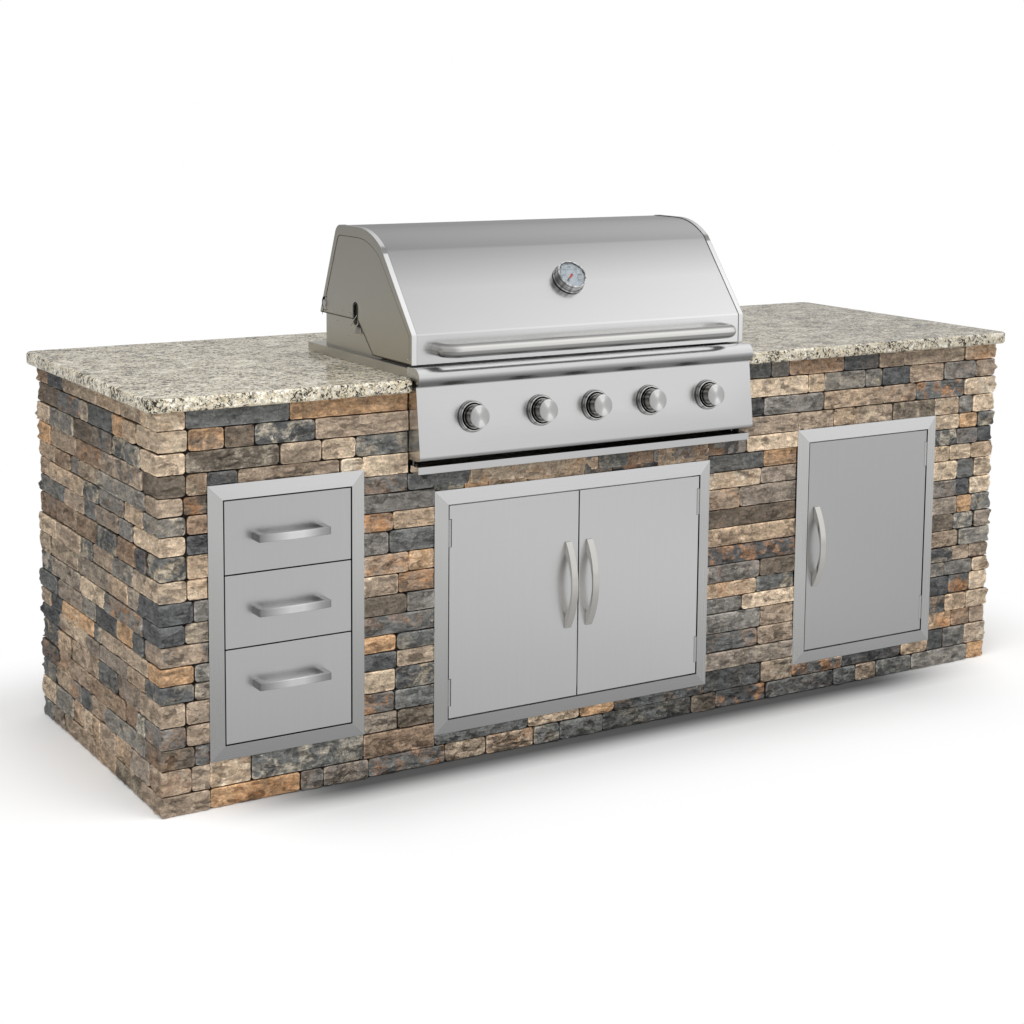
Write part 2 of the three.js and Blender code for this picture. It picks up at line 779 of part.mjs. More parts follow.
function firebox() {
  const flangeBackY = fireboxBackY + flangeBackReach;
  const flange = cut(
    block([-panelHalf, fireboxFrontY, seat], [panelHalf, flangeBackY, flangeRise]),
    block(
      [-panelHalf + fireboxSheet, fireboxFrontY - overrun, seat - overrun],
      [panelHalf - fireboxSheet, flangeBackY - fireboxSheet, flangeRise - fireboxSheet],
    ),
    block(
      [-fireboxInnerHalf, fireboxFrontY - overrun, seat],
      [fireboxInnerHalf, fireboxBackY - fireboxSheet, flangeRise + overrun],
    ),
  );
  const front = block(
    [-fireboxHalf, fireboxFrontY, fireboxBottomZ],
    [fireboxHalf, fireboxFrontY + fireboxSheet, flangeRise],
  );
  const back = block(
    [-fireboxHalf, fireboxBackY - fireboxSheet, fireboxBottomZ],
    [fireboxHalf, fireboxBackY, hingeZ - rearGuardDrop],
  );
  const burnerHoles = knobOffsets.map((x) => barY(
    burnerRadius + runningGap,
    fireboxFrontY - overrun,
    fireboxFrontY + fireboxSheet + overrun,
    x,
    burnerZ,
    roundSides,
  ));
  const hingeHole = barX(
    hingeRodRadius + runningGap,
    -fireboxHalf - overrun,
    fireboxHalf + overrun,
    hingeY,
    hingeZ,
    smallSides,
  );
  return cut(
    join(
      flange,
      front,
      back,
      fireboxSide(-1),
      fireboxSide(1),
      ...fireboxLedges(grateLedgeZ),
      ...fireboxLedges(heatLedgeZ),
      ...sideLedges(-1),
      ...sideLedges(1),
    ),
    ...burnerHoles,
    hingeHole,
  );
}

// The gas pipe along the front with its inlet, and a valve body for each burner. The nose of
// each valve is screwed up to the back of the control panel.
function gasManifold() {
  const pipeY = -(valveFront + valveBack) / 2;
  const manifoldHalfLength = panelHalf - manifoldEndGap;
  const pipe = new THREE.CylinderGeometry(
    manifoldRadius, manifoldRadius, 2 * manifoldHalfLength, smallSides,
  ).rotateZ(Math.PI / 2).translate(0, pipeY, manifoldDrop);
  const inlet = new THREE.CylinderGeometry(
    inletRadius, inletRadius, 2 * inletLength, smallSides,
  ).rotateZ(Math.PI / 2).translate(manifoldHalfLength, pipeY, manifoldDrop);
  const pieces = [pipe.applyMatrix4(onPanel(0)), inlet.applyMatrix4(onPanel(0))];
  const bores = [];
  for (const x of knobOffsets) {
    const body = block(
      [-valveHalfWidth, -valveBack, -valveTop],
      [valveHalfWidth, -valveFront, manifoldDrop],
    );
    const nozzle = new THREE.CylinderGeometry(nozzleRadius, nozzleRadius, 2 * nozzleLength, smallSides)
      .translate(0, -valveBack, 0);
    const noseFront = -panelSheet - seat;
    const noseBack = -valveFront - overrun;
    const nose = new THREE.CylinderGeometry(
      valveNoseRadius, valveNoseRadius, noseFront - noseBack, smallSides,
    ).translate(0, (noseFront + noseBack) / 2, 0);
    const boreRadius = stemRadius + seat;
    const boreBack = -valveFront - valveBoreDepth;
    const bore = new THREE.CylinderGeometry(boreRadius, boreRadius, -boreBack, smallSides)
      .translate(0, boreBack / 2, 0);
    pieces.push(...[body, nozzle, nose].map((piece) => piece.applyMatrix4(onPanel(x))));
    bores.push(bore.applyMatrix4(onPanel(x)));
  }
  return cut(join(...pieces), ...bores);
}

// A burner tube, open at the front where the valve's nozzle enters and closed at the back.
function burner(x) {
  const length = fireboxBackY - fireboxSheet - seat - burnerFrontY;
  const inner = burnerRadius - burnerWall;
  return turned([
    [0, length - burnerWall],
    [inner, length - burnerWall],
    [inner, 0],
    [burnerRadius, 0],
    [burnerRadius, length],
    [0, length],
  ], roundSides).translate(x, burnerFrontY, burnerZ);
}

// One folded plate with a ridge over each burner, resting on the lower ledges.
function heatPlate() {
  const halfWidth = fireboxInnerHalf - runningGap;
  const valleyZ = heatLedgeZ + seat;
  const ridgeZ = valleyZ + heatRidgeHeight;
  const halfRidge = heatRidgeShare * (knobOffsets[1] - knobOffsets[0]);
  const upper = [[-halfWidth, valleyZ + heatPlateSheet]];
  for (const x of knobOffsets) {
    upper.push([x - halfRidge, valleyZ + heatPlateSheet]);
    upper.push([x, ridgeZ + heatPlateSheet]);
    upper.push([x + halfRidge, valleyZ + heatPlateSheet]);
  }
  upper.push([halfWidth, valleyZ + heatPlateSheet]);
  const lower = upper.map(([x, z]) => [x, z - heatPlateSheet]).reverse();
  const frontY = fireboxFrontY + fireboxSheet + runningGap;
  const backY = fireboxBackY - fireboxSheet - runningGap;
  return alongY([...upper, ...lower], frontY, backY);
}

// A grate of bars that run from front to back on a cross bar at each end.
function cookingGrate(index) {
  const span = 2 * (fireboxInnerHalf - runningGap);
  const width = (span - (grateCount - 1) * grateGap) / grateCount;
  const left = -span / 2 + index * (width + grateGap);
  const frontY = fireboxFrontY + fireboxSheet + runningGap;
  const backY = fireboxBackY - fireboxSheet - runningGap;
  const bottomZ = grateLedgeZ + seat;
  const pieces = [frontY, backY - grateBar].map((y) => block(
    [left, y, bottomZ],
    [left + width, y + grateBar, bottomZ + grateBar],
  ));
  const bars = Math.floor((width - grateBar) / grateBarPitch);
  const pitch = (width - grateBar) / bars;
  for (let i = 0; i <= bars; i += 1) {
    const x = left + i * pitch;
    pieces.push(block(
      [x, frontY, bottomZ + grateBarLift],
      [x + grateBar, backY, bottomZ + grateBarLift + grateBar],
    ));
  }
  return join(...pieces);
}

// The raised rack at the back, on four legs that stand on the brackets.
function warmingRack() {
  const halfRod = rackRod / 2;
  const rackHalfLength = fireboxInnerHalf - rackEndGap;
  const underZ = rackTopZ - 2 * rackRod;
  const footZ = rackBracketZ + seat;
  const pieces = [];
  const pitch = (rackLegBackY - rackLegFrontY) / (rackRodCount - 1);
  for (let i = 0; i < rackRodCount; i += 1) {
    const y = rackLegFrontY + i * pitch;
    pieces.push(block(
      [-rackHalfLength, y - halfRod, rackTopZ - rackRod],
      [rackHalfLength, y + halfRod, rackTopZ],
    ));
  }
  for (const side of [-1, 0, 1]) {
    const x = side * (rackHalfLength - halfRod);
    pieces.push(block(
      [x - halfRod, rackLegFrontY - halfRod, underZ],
      [x + halfRod, rackLegBackY + halfRod, rackTopZ - halfRod],
    ));
  }
  for (const side of [-1, 1]) {
    const x = side * (rackHalfLength - halfRod);
    for (const y of [rackLegFrontY, rackLegBackY]) {
      pieces.push(block([x - halfRod, y - halfRod, footZ], [x + halfRod, y + halfRod, rackTopZ - halfRod]));
    }
  }
  return join(...pieces);
}

const knobFootRadius = knobRadius + knobFootLip;

function knobBezel() {
  const bezelHoleRadius = knobFootRadius + bezelGap;
  const bezelRadius = bezelHoleRadius + bezelWidth;
  const ease = bezelHeight / 3;
  const middle = (bezelRadius + bezelHoleRadius) / 2;
  return turned([
    [bezelHoleRadius, seat],
    [bezelRadius, seat],
    [bezelRadius, ease],
    [bezelRadius - ease / 2, 2 * ease],
    [middle + ease / 2, bezelHeight - ease / 4],
    [middle, bezelHeight],
    [middle - ease / 2, bezelHeight - ease / 4],
    [bezelHoleRadius, 2 * ease],
    [bezelHoleRadius, seat],
  ], fineSides);
}

function valveStem() {
  const backEnd = -valveFront - valveBoreDepth + knobTravel + seat;
  const frontEnd = knobStandoff + knobBoreDepth - stemEndGap;
  return turned([[0, backEnd], [stemRadius, backEnd], [stemRadius, frontEnd], [0, frontEnd]], smallSides);
}

function controlKnob() {
  const boreRadius = stemRadius + seat;
  const boreTop = knobStandoff + knobBoreDepth;
  return turned([
    [boreRadius, knobStandoff],
    [knobFootRadius, knobStandoff],
    [knobFootRadius, knobStandoff + knobFootHeight],
    [knobRadius, knobStandoff + knobFootHeight],
    [knobRadius, knobReach - knobEdgeRadius],
    [knobRadius - knobEdgeRadius / 3, knobReach - knobEdgeRadius / 3],
    [knobRadius - knobEdgeRadius, knobReach],
    [0, knobReach],
    [0, boreTop],
    [boreRadius, boreTop],
    [boreRadius, knobStandoff],
  ], fineSides);
}

// A shallow pan on the rails with the bright strip that shows under the control panel. The strip
// is folded back towards the wall at both ends.
function dripTray() {
  const half = fireboxInnerHalf - traySideGap;
  const stripHalf = panelHalf - trayStripInset;
  const bottomZ = trayRailTopZ + seat;
  const frontY = trayStripFrontY + trayStripThickness;
  const pan = cut(
    block([-half, frontY, bottomZ], [half, trayStripFrontY + trayDepth, bottomZ + trayWallHeight]),
    block(
      [-half + traySheet, frontY + traySheet, bottomZ + traySheet],
      [half - traySheet, trayStripFrontY + trayDepth - traySheet, bottomZ + trayWallHeight + overrun],
    ),
  );
  const strip = block(
    [-stripHalf, trayStripFrontY, bottomZ],
    [stripHalf, frontY + traySheet, bottomZ + trayStripHeight],
  );
  const ends = [-1, 1].map((side) => block(
    [Math.min(side * stripHalf, side * (stripHalf - traySheet)), trayStripFrontY, bottomZ],
    [Math.max(side * stripHalf, side * (stripHalf - traySheet)), trayStripFrontY + trayStripReturn,
      bottomZ + trayStripHeight],
  ));
  return join(pan, strip, ...ends);
}

// The hood's side profile, from the bottom of the front over the top to the bottom of the back.
const hoodHalf = fireboxHalf + hoodOverhang;
const hoodBottomZ = panelTopZ + hoodBottomGap;
const hoodBackY = fireboxBackY + hoodBackReach;
const hoodKinkZ = hingeZ - hoodKinkDrop;
const hoodBackBottomZ = hoodKinkZ - hoodBackDrop;
const crownRise = hoodTopZ - hoodSlopeTopZ;
const crownRun = hoodCrownY - hoodSlopeTopY;
const crownRadius = (crownRise * crownRise + crownRun * crownRun) / (2 * crownRise);
const crownCentre = [hoodCrownY, hoodTopZ - crownRadius];
const crownStart = 90 + THREE.MathUtils.radToDeg(Math.asin(crownRun / crownRadius));
const hoodPath = [
  [hoodFrontY, hoodBottomZ],
  ...roundedCorner(
    [hoodFrontY, hoodBottomZ],
    [hoodFrontY, hoodFoldZ],
    [hoodSlopeTopY, hoodSlopeTopZ],
    hoodFoldRadius,
    cornerSteps,
  ),
  ...arc(crownCentre, crownRadius, crownStart, 90, arcSteps),
  ...roundedCorner(
    [hoodCrownY, hoodTopZ],
    [hoodBackY - hoodTopBackRun, hoodTopZ],
    [hoodBackY, hoodKinkZ],
    hoodTopBackRadius,
    arcSteps,
  ),
  [hoodBackY, hoodKinkZ],
  [hoodBackY, hoodBackBottomZ],
];
const slopeAngle = Math.atan2(hoodSlopeTopZ - hoodFoldZ, hoodSlopeTopY - hoodFrontY);

// Stands a piece made along its own Y axis on the middle of the hood's slope.
function onSlope() {
  const share = thermometerSlopeShare;
  const y = hoodFrontY + share * (hoodSlopeTopY - hoodFrontY) + hoodRimStep * Math.sin(slopeAngle);
  const z = hoodFoldZ + share * (hoodSlopeTopZ - hoodFoldZ) - hoodRimStep * Math.cos(slopeAngle);
  return new THREE.Matrix4().makeRotationX(Math.PI / 2 + slopeAngle).setPosition(0, y, z);
}

function hoodCap(side) {
  const slotRadius = spitSlotHalfWidth;
  const outline = [
    ...hoodPath,
    [spitNotchY + slotRadius, hoodBackBottomZ],
    ...arc([spitNotchY, spitSlotTopZ - slotRadius], slotRadius, 0, 180, cornerSteps),
    [spitNotchY - slotRadius, hoodBackBottomZ],
    [spitNotchY - capHeelRun, hoodBackBottomZ - capHeelDrop],
    [spitNotchY - capToeRun, hoodBottomZ],
  ];
  const inner = side * (hoodHalf - hoodSheet);
  const outer = side * hoodHalf;
  return alongX(outline, Math.min(inner, outer), Math.max(inner, outer));
}

function hood() {
  const rimInner = hoodHalf - hoodRimWidth;
  const skin = sheetSection(hoodPath, -hoodRimStep, -hoodRimStep - hoodSheet);
  const rim = sheetSection(hoodPath, 0, -hoodRimStep - hoodSheet);
  const relief = (side) => {
    const near = side * (fireboxInnerHalf - runningGap);
    const far = side * (hoodHalf - hoodSheet);
    return block(
      [Math.min(near, far), hingeY - hingeReliefWidth, hoodBackBottomZ - overrun],
      [Math.max(near, far), hoodBackY + overrun, hingeZ + hingeReliefRise],
    );
  };
  const hingeHole = barX(
    hingeRodRadius + runningGap,
    -hoodHalf - overrun,
    hoodHalf + overrun,
    hingeY,
    hingeZ,
    smallSides,
  );
  const probeHole = new THREE.CylinderGeometry(
    probeRadius + runningGap, probeRadius + runningGap, 2 * (hoodSheet + overrun), smallSides,
  ).applyMatrix4(onSlope());
  return cut(
    join(
      alongX(skin, -rimInner - overrun, rimInner + overrun),
      alongX(rim, -hoodHalf, -rimInner),
      alongX(rim, rimInner, hoodHalf),
      hoodCap(-1),
      hoodCap(1),
    ),
    relief(-1),
    relief(1),
    hingeHole,
    probeHole,
  );
}

// A rod through the firebox's ears and the hood's caps, with a domed head at each end.
function hingeRod() {
  const headFrom = hoodHalf + seat;
  const headTo = headFrom + hingeHeadHeight;
  return join(
    barX(hingeRodRadius, -headTo, headTo, hingeY, hingeZ, smallSides),
    barX(hingeHeadRadius, headFrom, headTo, hingeY, hingeZ, smallSides),
    barX(hingeHeadRadius, -headTo, -headFrom, hingeY, hingeZ, smallSides),
  );
}

// A long tube whose two elbows bring it back to the hood's front band.
function hoodHandle() {
  const faceY = hoodFrontY + hoodRimStep - seat;
  const axisLineY = hoodFrontY - hoodHandleStandoff;
  const endX = hoodHalf - hoodHandleInset - hoodHandleRadius;
  const elbowCentre = [endX - hoodHandleElbow, axisLineY + hoodHandleElbow];
  const rightEnd = [...arc(elbowCentre, hoodHandleElbow, 270, 360, cornerSteps), [endX, faceY]];
  const leftEnd = rightEnd.map(([x, y]) => [-x, y]).reverse();
  const stations = [...leftEnd, ...rightEnd].map(([x, y]) => new THREE.Vector3(x, y, hoodHandleZ));
  return tubeThrough(stations, hoodHandleRadius, roundSides);
}

function thermometerCase() {
  const dialZ = thermometerHeight - thermometerRecess;
  const rimInner = thermometerRadius - thermometerRimWidth;
  return turned([
    [0, -probeLength],
    [probeRadius, -probeLength],
    [probeRadius, seat],
    [thermometerBaseRadius, seat],
    [thermometerBaseRadius, thermometerBaseHeight],
    [thermometerRadius, thermometerBaseHeight + thermometerRimEase],
    [thermometerRadius, thermometerHeight - thermometerRimEase],
    [thermometerRadius - thermometerRimEase, thermometerHeight],
    [rimInner, thermometerHeight],
    [rimInner, dialZ],
    [0, dialZ],
  ], fineSides);
}

// A flat pointer on a round hub, just above the dial.
function thermometerNeedle() {
  const dialY = thermometerHeight - thermometerRecess + seat;
  const halfWidth = needleWidth / 2;
  const blade = new THREE.Shape([
    new THREE.Vector2(-halfWidth, -needleTail),
    new THREE.Vector2(halfWidth, -needleTail),
    new THREE.Vector2(halfWidth, 0),
    new THREE.Vector2(0, needleLength),
    new THREE.Vector2(-halfWidth, 0),
  ]);
  const pointer = new THREE.ExtrudeGeometry(blade, { depth: needleThickness, bevelEnabled: false })
    .rotateX(-Math.PI / 2)
    .translate(0, dialY, 0);
  const hub = new THREE.CylinderGeometry(needleHubRadius, needleHubRadius, needleHubHeight, smallSides)
    .translate(0, dialY + needleHubHeight / 2, 0);
  return join(pointer, hub).rotateY(THREE.MathUtils.degToRad(180 + needleRestAngle));
}

function placed(mesh, matrix) {
  mesh.applyMatrix4(matrix);
  return mesh;
}

function grill() {
  const group = new THREE.Group();
  group.position.set(grillCentreX, 0, counterHeight);
  group.add(part('firebox', firebox(), hotSteel));
  group.add(part('control_panel', controlPanel(), brushedSteel));
  group.add(part('gas_manifold', gasManifold(), brass));
  group.add(part('heat_plate', heatPlate(), hotSteel));
  group.add(part('warming_rack', warmingRack(), polishedSteel));
  group.add(part('drip_tray', dripTray(), brushedSteel));
  knobOffsets.forEach((x, i) => {
    const number = i + 1;
    group.add(part(`burner_${number}`, burner(x), hotSteel));
    group.add(placed(part(`knob_bezel_${number}`, knobBezel(), polishedSteel), onPanel(x)));
    group.add(placed(part(`valve_stem_${number}`, valveStem(), brass), onPanel(x)));
    group.add(placed(part(`control_knob_${number}`, controlKnob(), brushedSteel), onPanel(x)));
  });
  for (let i = 0; i < grateCount; i += 1) {
    group.add(part(`cooking_grate_${i + 1}`, cookingGrate(i), hotSteel));
  }
  group.add(part('hood', hood(), hoodSteel));
  group.add(part('hood_hinge_rod', hingeRod(), polishedSteel));
  group.add(part('hood_handle', hoodHandle(), polishedSteel));
  group.add(placed(part('thermometer_case', thermometerCase(), polishedSteel), onSlope()));
  group.add(placed(part('thermometer_needle', thermometerNeedle(), needleRed), onSlope()));
  return group;
}

// The bevelled border that lies on the stone, without its sleeve.
const borderSection = [
  [0, seat],
  [0, frameLip],
  [frameBorder, frameProud],
  [frameBorder, seat],
];

// The border with the sleeve through the wall and the stop that the doors close against.
const stopProud = doorProud - doorThickness - seat;
const doorFrameSection = [
  [0, seat],
  [0, frameLip],
  [frameBorder, frameProud],
  [frameBorder, stopProud],
  [frameBorder + stopReach, stopProud],
  [frameBorder + stopReach, stopProud - stopSheet],
  [frameBorder, stopProud - stopSheet],
  [frameBorder, -sleeveDepth],
  [frameBorder - sleeveSheet, -sleeveDepth],
  [frameBorder - sleeveSheet, seat],
];

const hingeAxisY = -doorProud + knuckleSetback;

// The lower and upper ends of an opening's two hinge knuckles.
function knuckleSpans(opening) {
  const low = opening.bottom + knuckleBottomRise;
  const high = opening.top - knuckleTopDrop;
  return [[low, low + knuckleHeight], [high - knuckleHeight, high]];
}

// Two knuckles with the leaf that joins each to the frame, at the side where a door hangs.
function hingeKnuckles(opening, side) {
  const edge = side < 0 ? opening.left : opening.right;
  const axis = edge - side * knuckleInset;
  const root = edge + side * sleeveSheet / 2;
  return knuckleSpans(opening).flatMap(([low, high]) => [
    barZ(knuckleRadius, low, high, axis, hingeAxisY, smallSides),
    block(
      [Math.min(root, axis), hingeAxisY - knuckleLeaf / 2, low],
      [Math.max(root, axis), hingeAxisY + knuckleLeaf / 2, high],
    ),
  ]);
}

// A folded door: a front sheet with its four edges turned back, cut out round its hinges.
function doorPan(left, right, opening, side) {
  const bottom = opening.bottom + doorGap;
  const top = opening.top - doorGap;
  const frontY = -doorProud;
  const backY = frontY + doorThickness;
  const clearance = knuckleRadius + runningGap;
  const axis = side < 0 ? opening.left + knuckleInset : opening.right - knuckleInset;
  const outerX = axis + side * (clearance + overrun);
  const innerX = axis - side * clearance;
  const reliefs = knuckleSpans(opening).map(([low, high]) => block(
    [Math.min(outerX, innerX), frontY - overrun, low - runningGap],
    [Math.max(outerX, innerX), hingeAxisY + clearance, high + runningGap],
  ));
  const foldSheet = clearance + knuckleInset + doorSheet - doorGap;
  const hollowLeft = left + (side < 0 ? foldSheet : doorSheet);
  const hollowRight = right - (side > 0 ? foldSheet : doorSheet);
  return cut(
    block([left, frontY, bottom], [right, backY, top]),
    block(
      [hollowLeft, frontY + doorSheet, bottom + doorSheet],
      [hollowRight, backY + overrun, top - doorSheet],
    ),
    ...reliefs,
  );
}

// A flat bar bowed away from the door, solid at its two tapered feet.
function bowHandle(centreX, centreZ) {
  const faceY = -doorProud - seat;
  const outer = bow(bowLength / 2, bowTip, bowStandoff, arcSteps * 2);
  const inner = bow(bowLength / 2 - bowFoot, 0, bowStandoff - bowThickness, arcSteps * 2);
  const side = [[-bowLength / 2, 0], ...outer, [bowLength / 2, 0], ...inner.reverse()];
  const outline = side.map(([z, standoff]) => [faceY - standoff, centreZ + z]);
  return alongX(outline, centreX - bowWidth / 2, centreX + bowWidth / 2);
}

// A drawer pull: a slightly bowed flat bar on two square arms.
function drawerPull(centreX, centreZ) {
  const faceY = -doorProud - seat;
  const half = pullLength / 2;
  const outerBow = bow(half, pullStandoff, pullStandoff + pullBow, arcSteps);
  const rightCorner = roundedCorner(
    outerBow[outerBow.length - 2], [half, pullStandoff], [half, 0], pullCornerRadius, cornerSteps,
  );
  const leftCorner = rightCorner.map(([x, y]) => [-x, y]).reverse();
  const innerStandoff = pullStandoff - pullThickness;
  const innerBow = bow(half - pullArm, innerStandoff, innerStandoff + pullBow, arcSteps);
  const around = [
    [-half, 0],
    ...leftCorner,
    ...outerBow.slice(1, -1),
    ...rightCorner,
    [half, 0],
    [half - pullArm, 0],
    ...innerBow.reverse(),
    [-half + pullArm, 0],
  ];
  const outline = around.map(([x, standoff]) => [centreX + x, faceY - standoff]);
  return alongZ(outline, centreZ - pullHeight / 2, centreZ + pullHeight / 2);
}

function doubleDoors() {
  const group = new THREE.Group();
  const opening = doubleOpening;
  const middle = (opening.left + opening.right) / 2;
  const frame = join(
    mitredFrame(doubleFrame, doorFrameSection),
    ...hingeKnuckles(opening, -1),
    ...hingeKnuckles(opening, 1),
  );
  const leftDoor = doorPan(opening.left + doorGap, middle - doorGap / 2, opening, -1);
  const rightDoor = doorPan(middle + doorGap / 2, opening.right - doorGap, opening, 1);
  const handleZ = (opening.bottom + opening.top) / 2 + doubleBowRise;
  group.add(part('double_door_frame', frame, brushedSteel));
  group.add(part('door_left', leftDoor, brushedSteel));
  group.add(part('door_right', rightDoor, brushedSteel));
  group.add(part('door_handle_left', bowHandle(middle - bowInset, handleZ), handleSteel));
  group.add(part('door_handle_right', bowHandle(middle + bowInset, handleZ), handleSteel));
  return group;
}

function singleDoorUnit() {
  const group = new THREE.Group();
  const opening = singleOpening;
  const frame = join(
    mitredFrame(singleFrame, doorFrameSection),
    ...hingeKnuckles(opening, 1),
  );
  const door = doorPan(opening.left + doorGap, opening.right - doorGap, opening, 1);
  const handleZ = (opening.bottom + opening.top) / 2;
  group.add(part('single_door_frame', frame, brushedSteel));
  group.add(part('single_door', door, brushedSteel));
  group.add(part('single_door_handle', bowHandle(opening.left + bowInset, handleZ), handleSteel));
  return group;
}

// The lower edge and the height of each drawer front, from the bottom one up.
const drawerSpace = drawerOpening.top - drawerOpening.bottom - (drawerHeightShares.length + 1) * doorGap;
const drawerShareTotal = drawerHeightShares.reduce((sum, share) => sum + share);
const drawerHeights = drawerHeightShares.map((share) => drawerSpace * share / drawerShareTotal);
const drawerBottoms = drawerHeights.map((_, i) => drawerHeights.slice(0, i)
  .reduce((z, height) => z + height + doorGap, drawerOpening.bottom + doorGap));

// The frame with the sheet box behind it and a pair of runners under each drawer.
function drawerHousing() {
  const { left, right, bottom, top } = drawerOpening;
  const box = cut(
    block(
      [left - sleeveSheet, seat - frameLip, bottom - sleeveSheet],
      [right + sleeveSheet, housingDepth, top + sleeveSheet],
    ),
    block([left, -frameProud, bottom], [right, housingDepth - sleeveSheet, top]),
  );
  const runners = drawerBottoms.flatMap((z) => [-1, 1].map((side) => {
    const wall = side < 0 ? left : right;
    const root = wall + side * sleeveSheet / 2;
    const tip = wall - side * runnerReach;
    return block(
      [Math.min(root, tip), doorThickness, z + runnerRise - runnerHeight],
      [Math.max(root, tip), housingDepth - sleeveSheet / 2, z + runnerRise],
    );
  }));
  return join(mitredFrame(drawerFrame, borderSection), box, ...runners);
}

// A drawer front folded like the doors, welded to an open box that slides on the runners.
function drawer(bottom, height) {
  const left = drawerOpening.left + doorGap;
  const right = drawerOpening.right - doorGap;
  const frontY = -doorProud;
  const backY = frontY + doorThickness;
  const front = cut(
    block([left, frontY, bottom], [right, backY, bottom + height]),
    block(
      [left + doorSheet, frontY + doorSheet, bottom + doorSheet],
      [right - doorSheet, backY + overrun, bottom + height - doorSheet],
    ),
  );
  const boxLeft = drawerOpening.left + drawerBoxGap;
  const boxRight = drawerOpening.right - drawerBoxGap;
  const boxBottom = bottom + runnerRise + seat;
  const boxTop = bottom + height - drawerBoxDrop;
  const boxBackY = housingDepth - sleeveSheet - drawerBackGap;
  const box = cut(
    block([boxLeft, frontY + doorSheet / 2, boxBottom], [boxRight, boxBackY, boxTop]),
    block(
      [boxLeft + doorSheet, frontY + doorSheet, boxBottom + doorSheet],
      [boxRight - doorSheet, boxBackY - doorSheet, boxTop + overrun],
    ),
  );
  return join(front, box);
}

function drawerUnit() {
  const group = new THREE.Group();
  group.add(part('drawer_housing', drawerHousing(), brushedSteel));
  drawerBottoms.forEach((bottom, i) => {
    const number = drawerBottoms.length - i;
    const pullZ = bottom + drawerHeights[i] - pullDrop;
    group.add(part(`drawer_${number}`, drawer(bottom, drawerHeights[i]), brushedSteel));
    group.add(part(`drawer_handle_${number}`, drawerPull(drawerFrame.centreX, pullZ), handleSteel));
  });
  return group;
}

const island = new THREE.Group();
island.add(stoneAndTop());
island.add(steelFrames());
island.add(grill());
island.add(drawerUnit());
island.add(doubleDoors());
island.add(singleDoorUnit());

// The origin goes under the middle of the box round the whole object.
const bounds = new THREE.Box3().setFromObject(island);
const middle = bounds.getCenter(new THREE.Vector3());
island.position.set(-middle.x, -middle.y, 0);

export default island;
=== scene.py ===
import bmesh
import bpy
import json
import math
import random
from mathutils import Matrix, Vector, noise


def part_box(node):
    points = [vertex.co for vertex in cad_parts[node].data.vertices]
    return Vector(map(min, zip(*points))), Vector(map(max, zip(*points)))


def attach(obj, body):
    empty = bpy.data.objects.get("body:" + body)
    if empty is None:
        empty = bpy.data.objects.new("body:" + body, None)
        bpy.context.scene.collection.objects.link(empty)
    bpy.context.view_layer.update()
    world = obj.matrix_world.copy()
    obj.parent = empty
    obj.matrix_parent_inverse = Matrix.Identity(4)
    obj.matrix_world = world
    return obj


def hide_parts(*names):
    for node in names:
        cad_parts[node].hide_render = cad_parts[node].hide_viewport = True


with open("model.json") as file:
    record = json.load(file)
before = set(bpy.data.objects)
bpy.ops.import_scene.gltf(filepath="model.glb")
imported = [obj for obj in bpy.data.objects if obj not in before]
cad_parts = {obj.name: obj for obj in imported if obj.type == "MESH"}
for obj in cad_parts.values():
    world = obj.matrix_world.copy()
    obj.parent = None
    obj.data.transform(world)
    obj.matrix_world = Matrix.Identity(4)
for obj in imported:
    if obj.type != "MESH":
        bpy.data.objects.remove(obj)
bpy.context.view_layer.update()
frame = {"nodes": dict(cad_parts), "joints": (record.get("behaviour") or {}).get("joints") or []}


# The studio: a white room with a pale floor, one broad lamp overhead and a weaker one from the
# front left. The camera stands at the photograph's place, to the left of the island's front.
def colour(code):
    channels = [int(code[i:i + 2], 16) / 255 for i in (0, 2, 4)]
    return (*((c / 12.92 if c < 0.04045 else ((c + 0.055) / 1.055) ** 2.4) for c in channels), 1)


def plug(node, inputs):
    for key, value in inputs.items():
        if isinstance(value, bpy.types.NodeSocket):
            node.id_data.links.new(value, node.inputs[key])
        else:
            node.inputs[key].default_value = value
    return node.outputs


# A node goes into the tree of the sockets that feed it, unless its tree is given.
def add(kind, inputs, tree=None, **settings):
    feeding = [value for value in inputs.values() if isinstance(value, bpy.types.NodeSocket)]
    node = (tree or feeding[0].id_data).nodes.new("ShaderNode" + kind)
    for key, value in settings.items():
        setattr(node, key, value)
    return plug(node, inputs)


def calc(operation, *values):
    return add("Math", dict(enumerate(values)), operation=operation)[0]


def vector(operation, *values):
    return add("VectorMath", dict(enumerate(values)), operation=operation)[0]


def axes(spot):
    return add("SeparateXYZ", {0: spot})


def rescale(value, from_low=0.0, from_high=1.0, to_low=0.0, to_high=1.0, **settings):
    limits = {"From Min": from_low, "From Max": from_high, "To Min": to_low, "To Max": to_high}
    return add("MapRange", {"Value": value, **limits}, **settings)[0]


# A ramp's tones are colour codes, or levels of grey.
def ramp(value, stops, interpolation="LINEAR"):
    node = value.id_data.nodes.new("ShaderNodeValToRGB")
    node.color_ramp.interpolation = interpolation
    stops = [(spot, colour(tone) if isinstance(tone, str) else (tone, tone, tone, 1)) for spot, tone in stops]
    for end in (0, -1):
        node.color_ramp.elements[end].position, node.color_ramp.elements[end].color = stops[end]
    for spot, tone in stops[1:-1]:
        node.color_ramp.elements.new(spot).color = tone
    return plug(node, {"Fac": value})[0]


def mix(share, first, second, way="MIX"):
    return add("Mix", {0: share, 6: first, 7: second}, data_type="RGBA", blend_type=way)[2]


def tinted(first, second):
    return mix(1.0, first, second, "MULTIPLY")


def either(share, first, second):
    return add("MixShader", {0: share, 1: first, 2: second})[0]


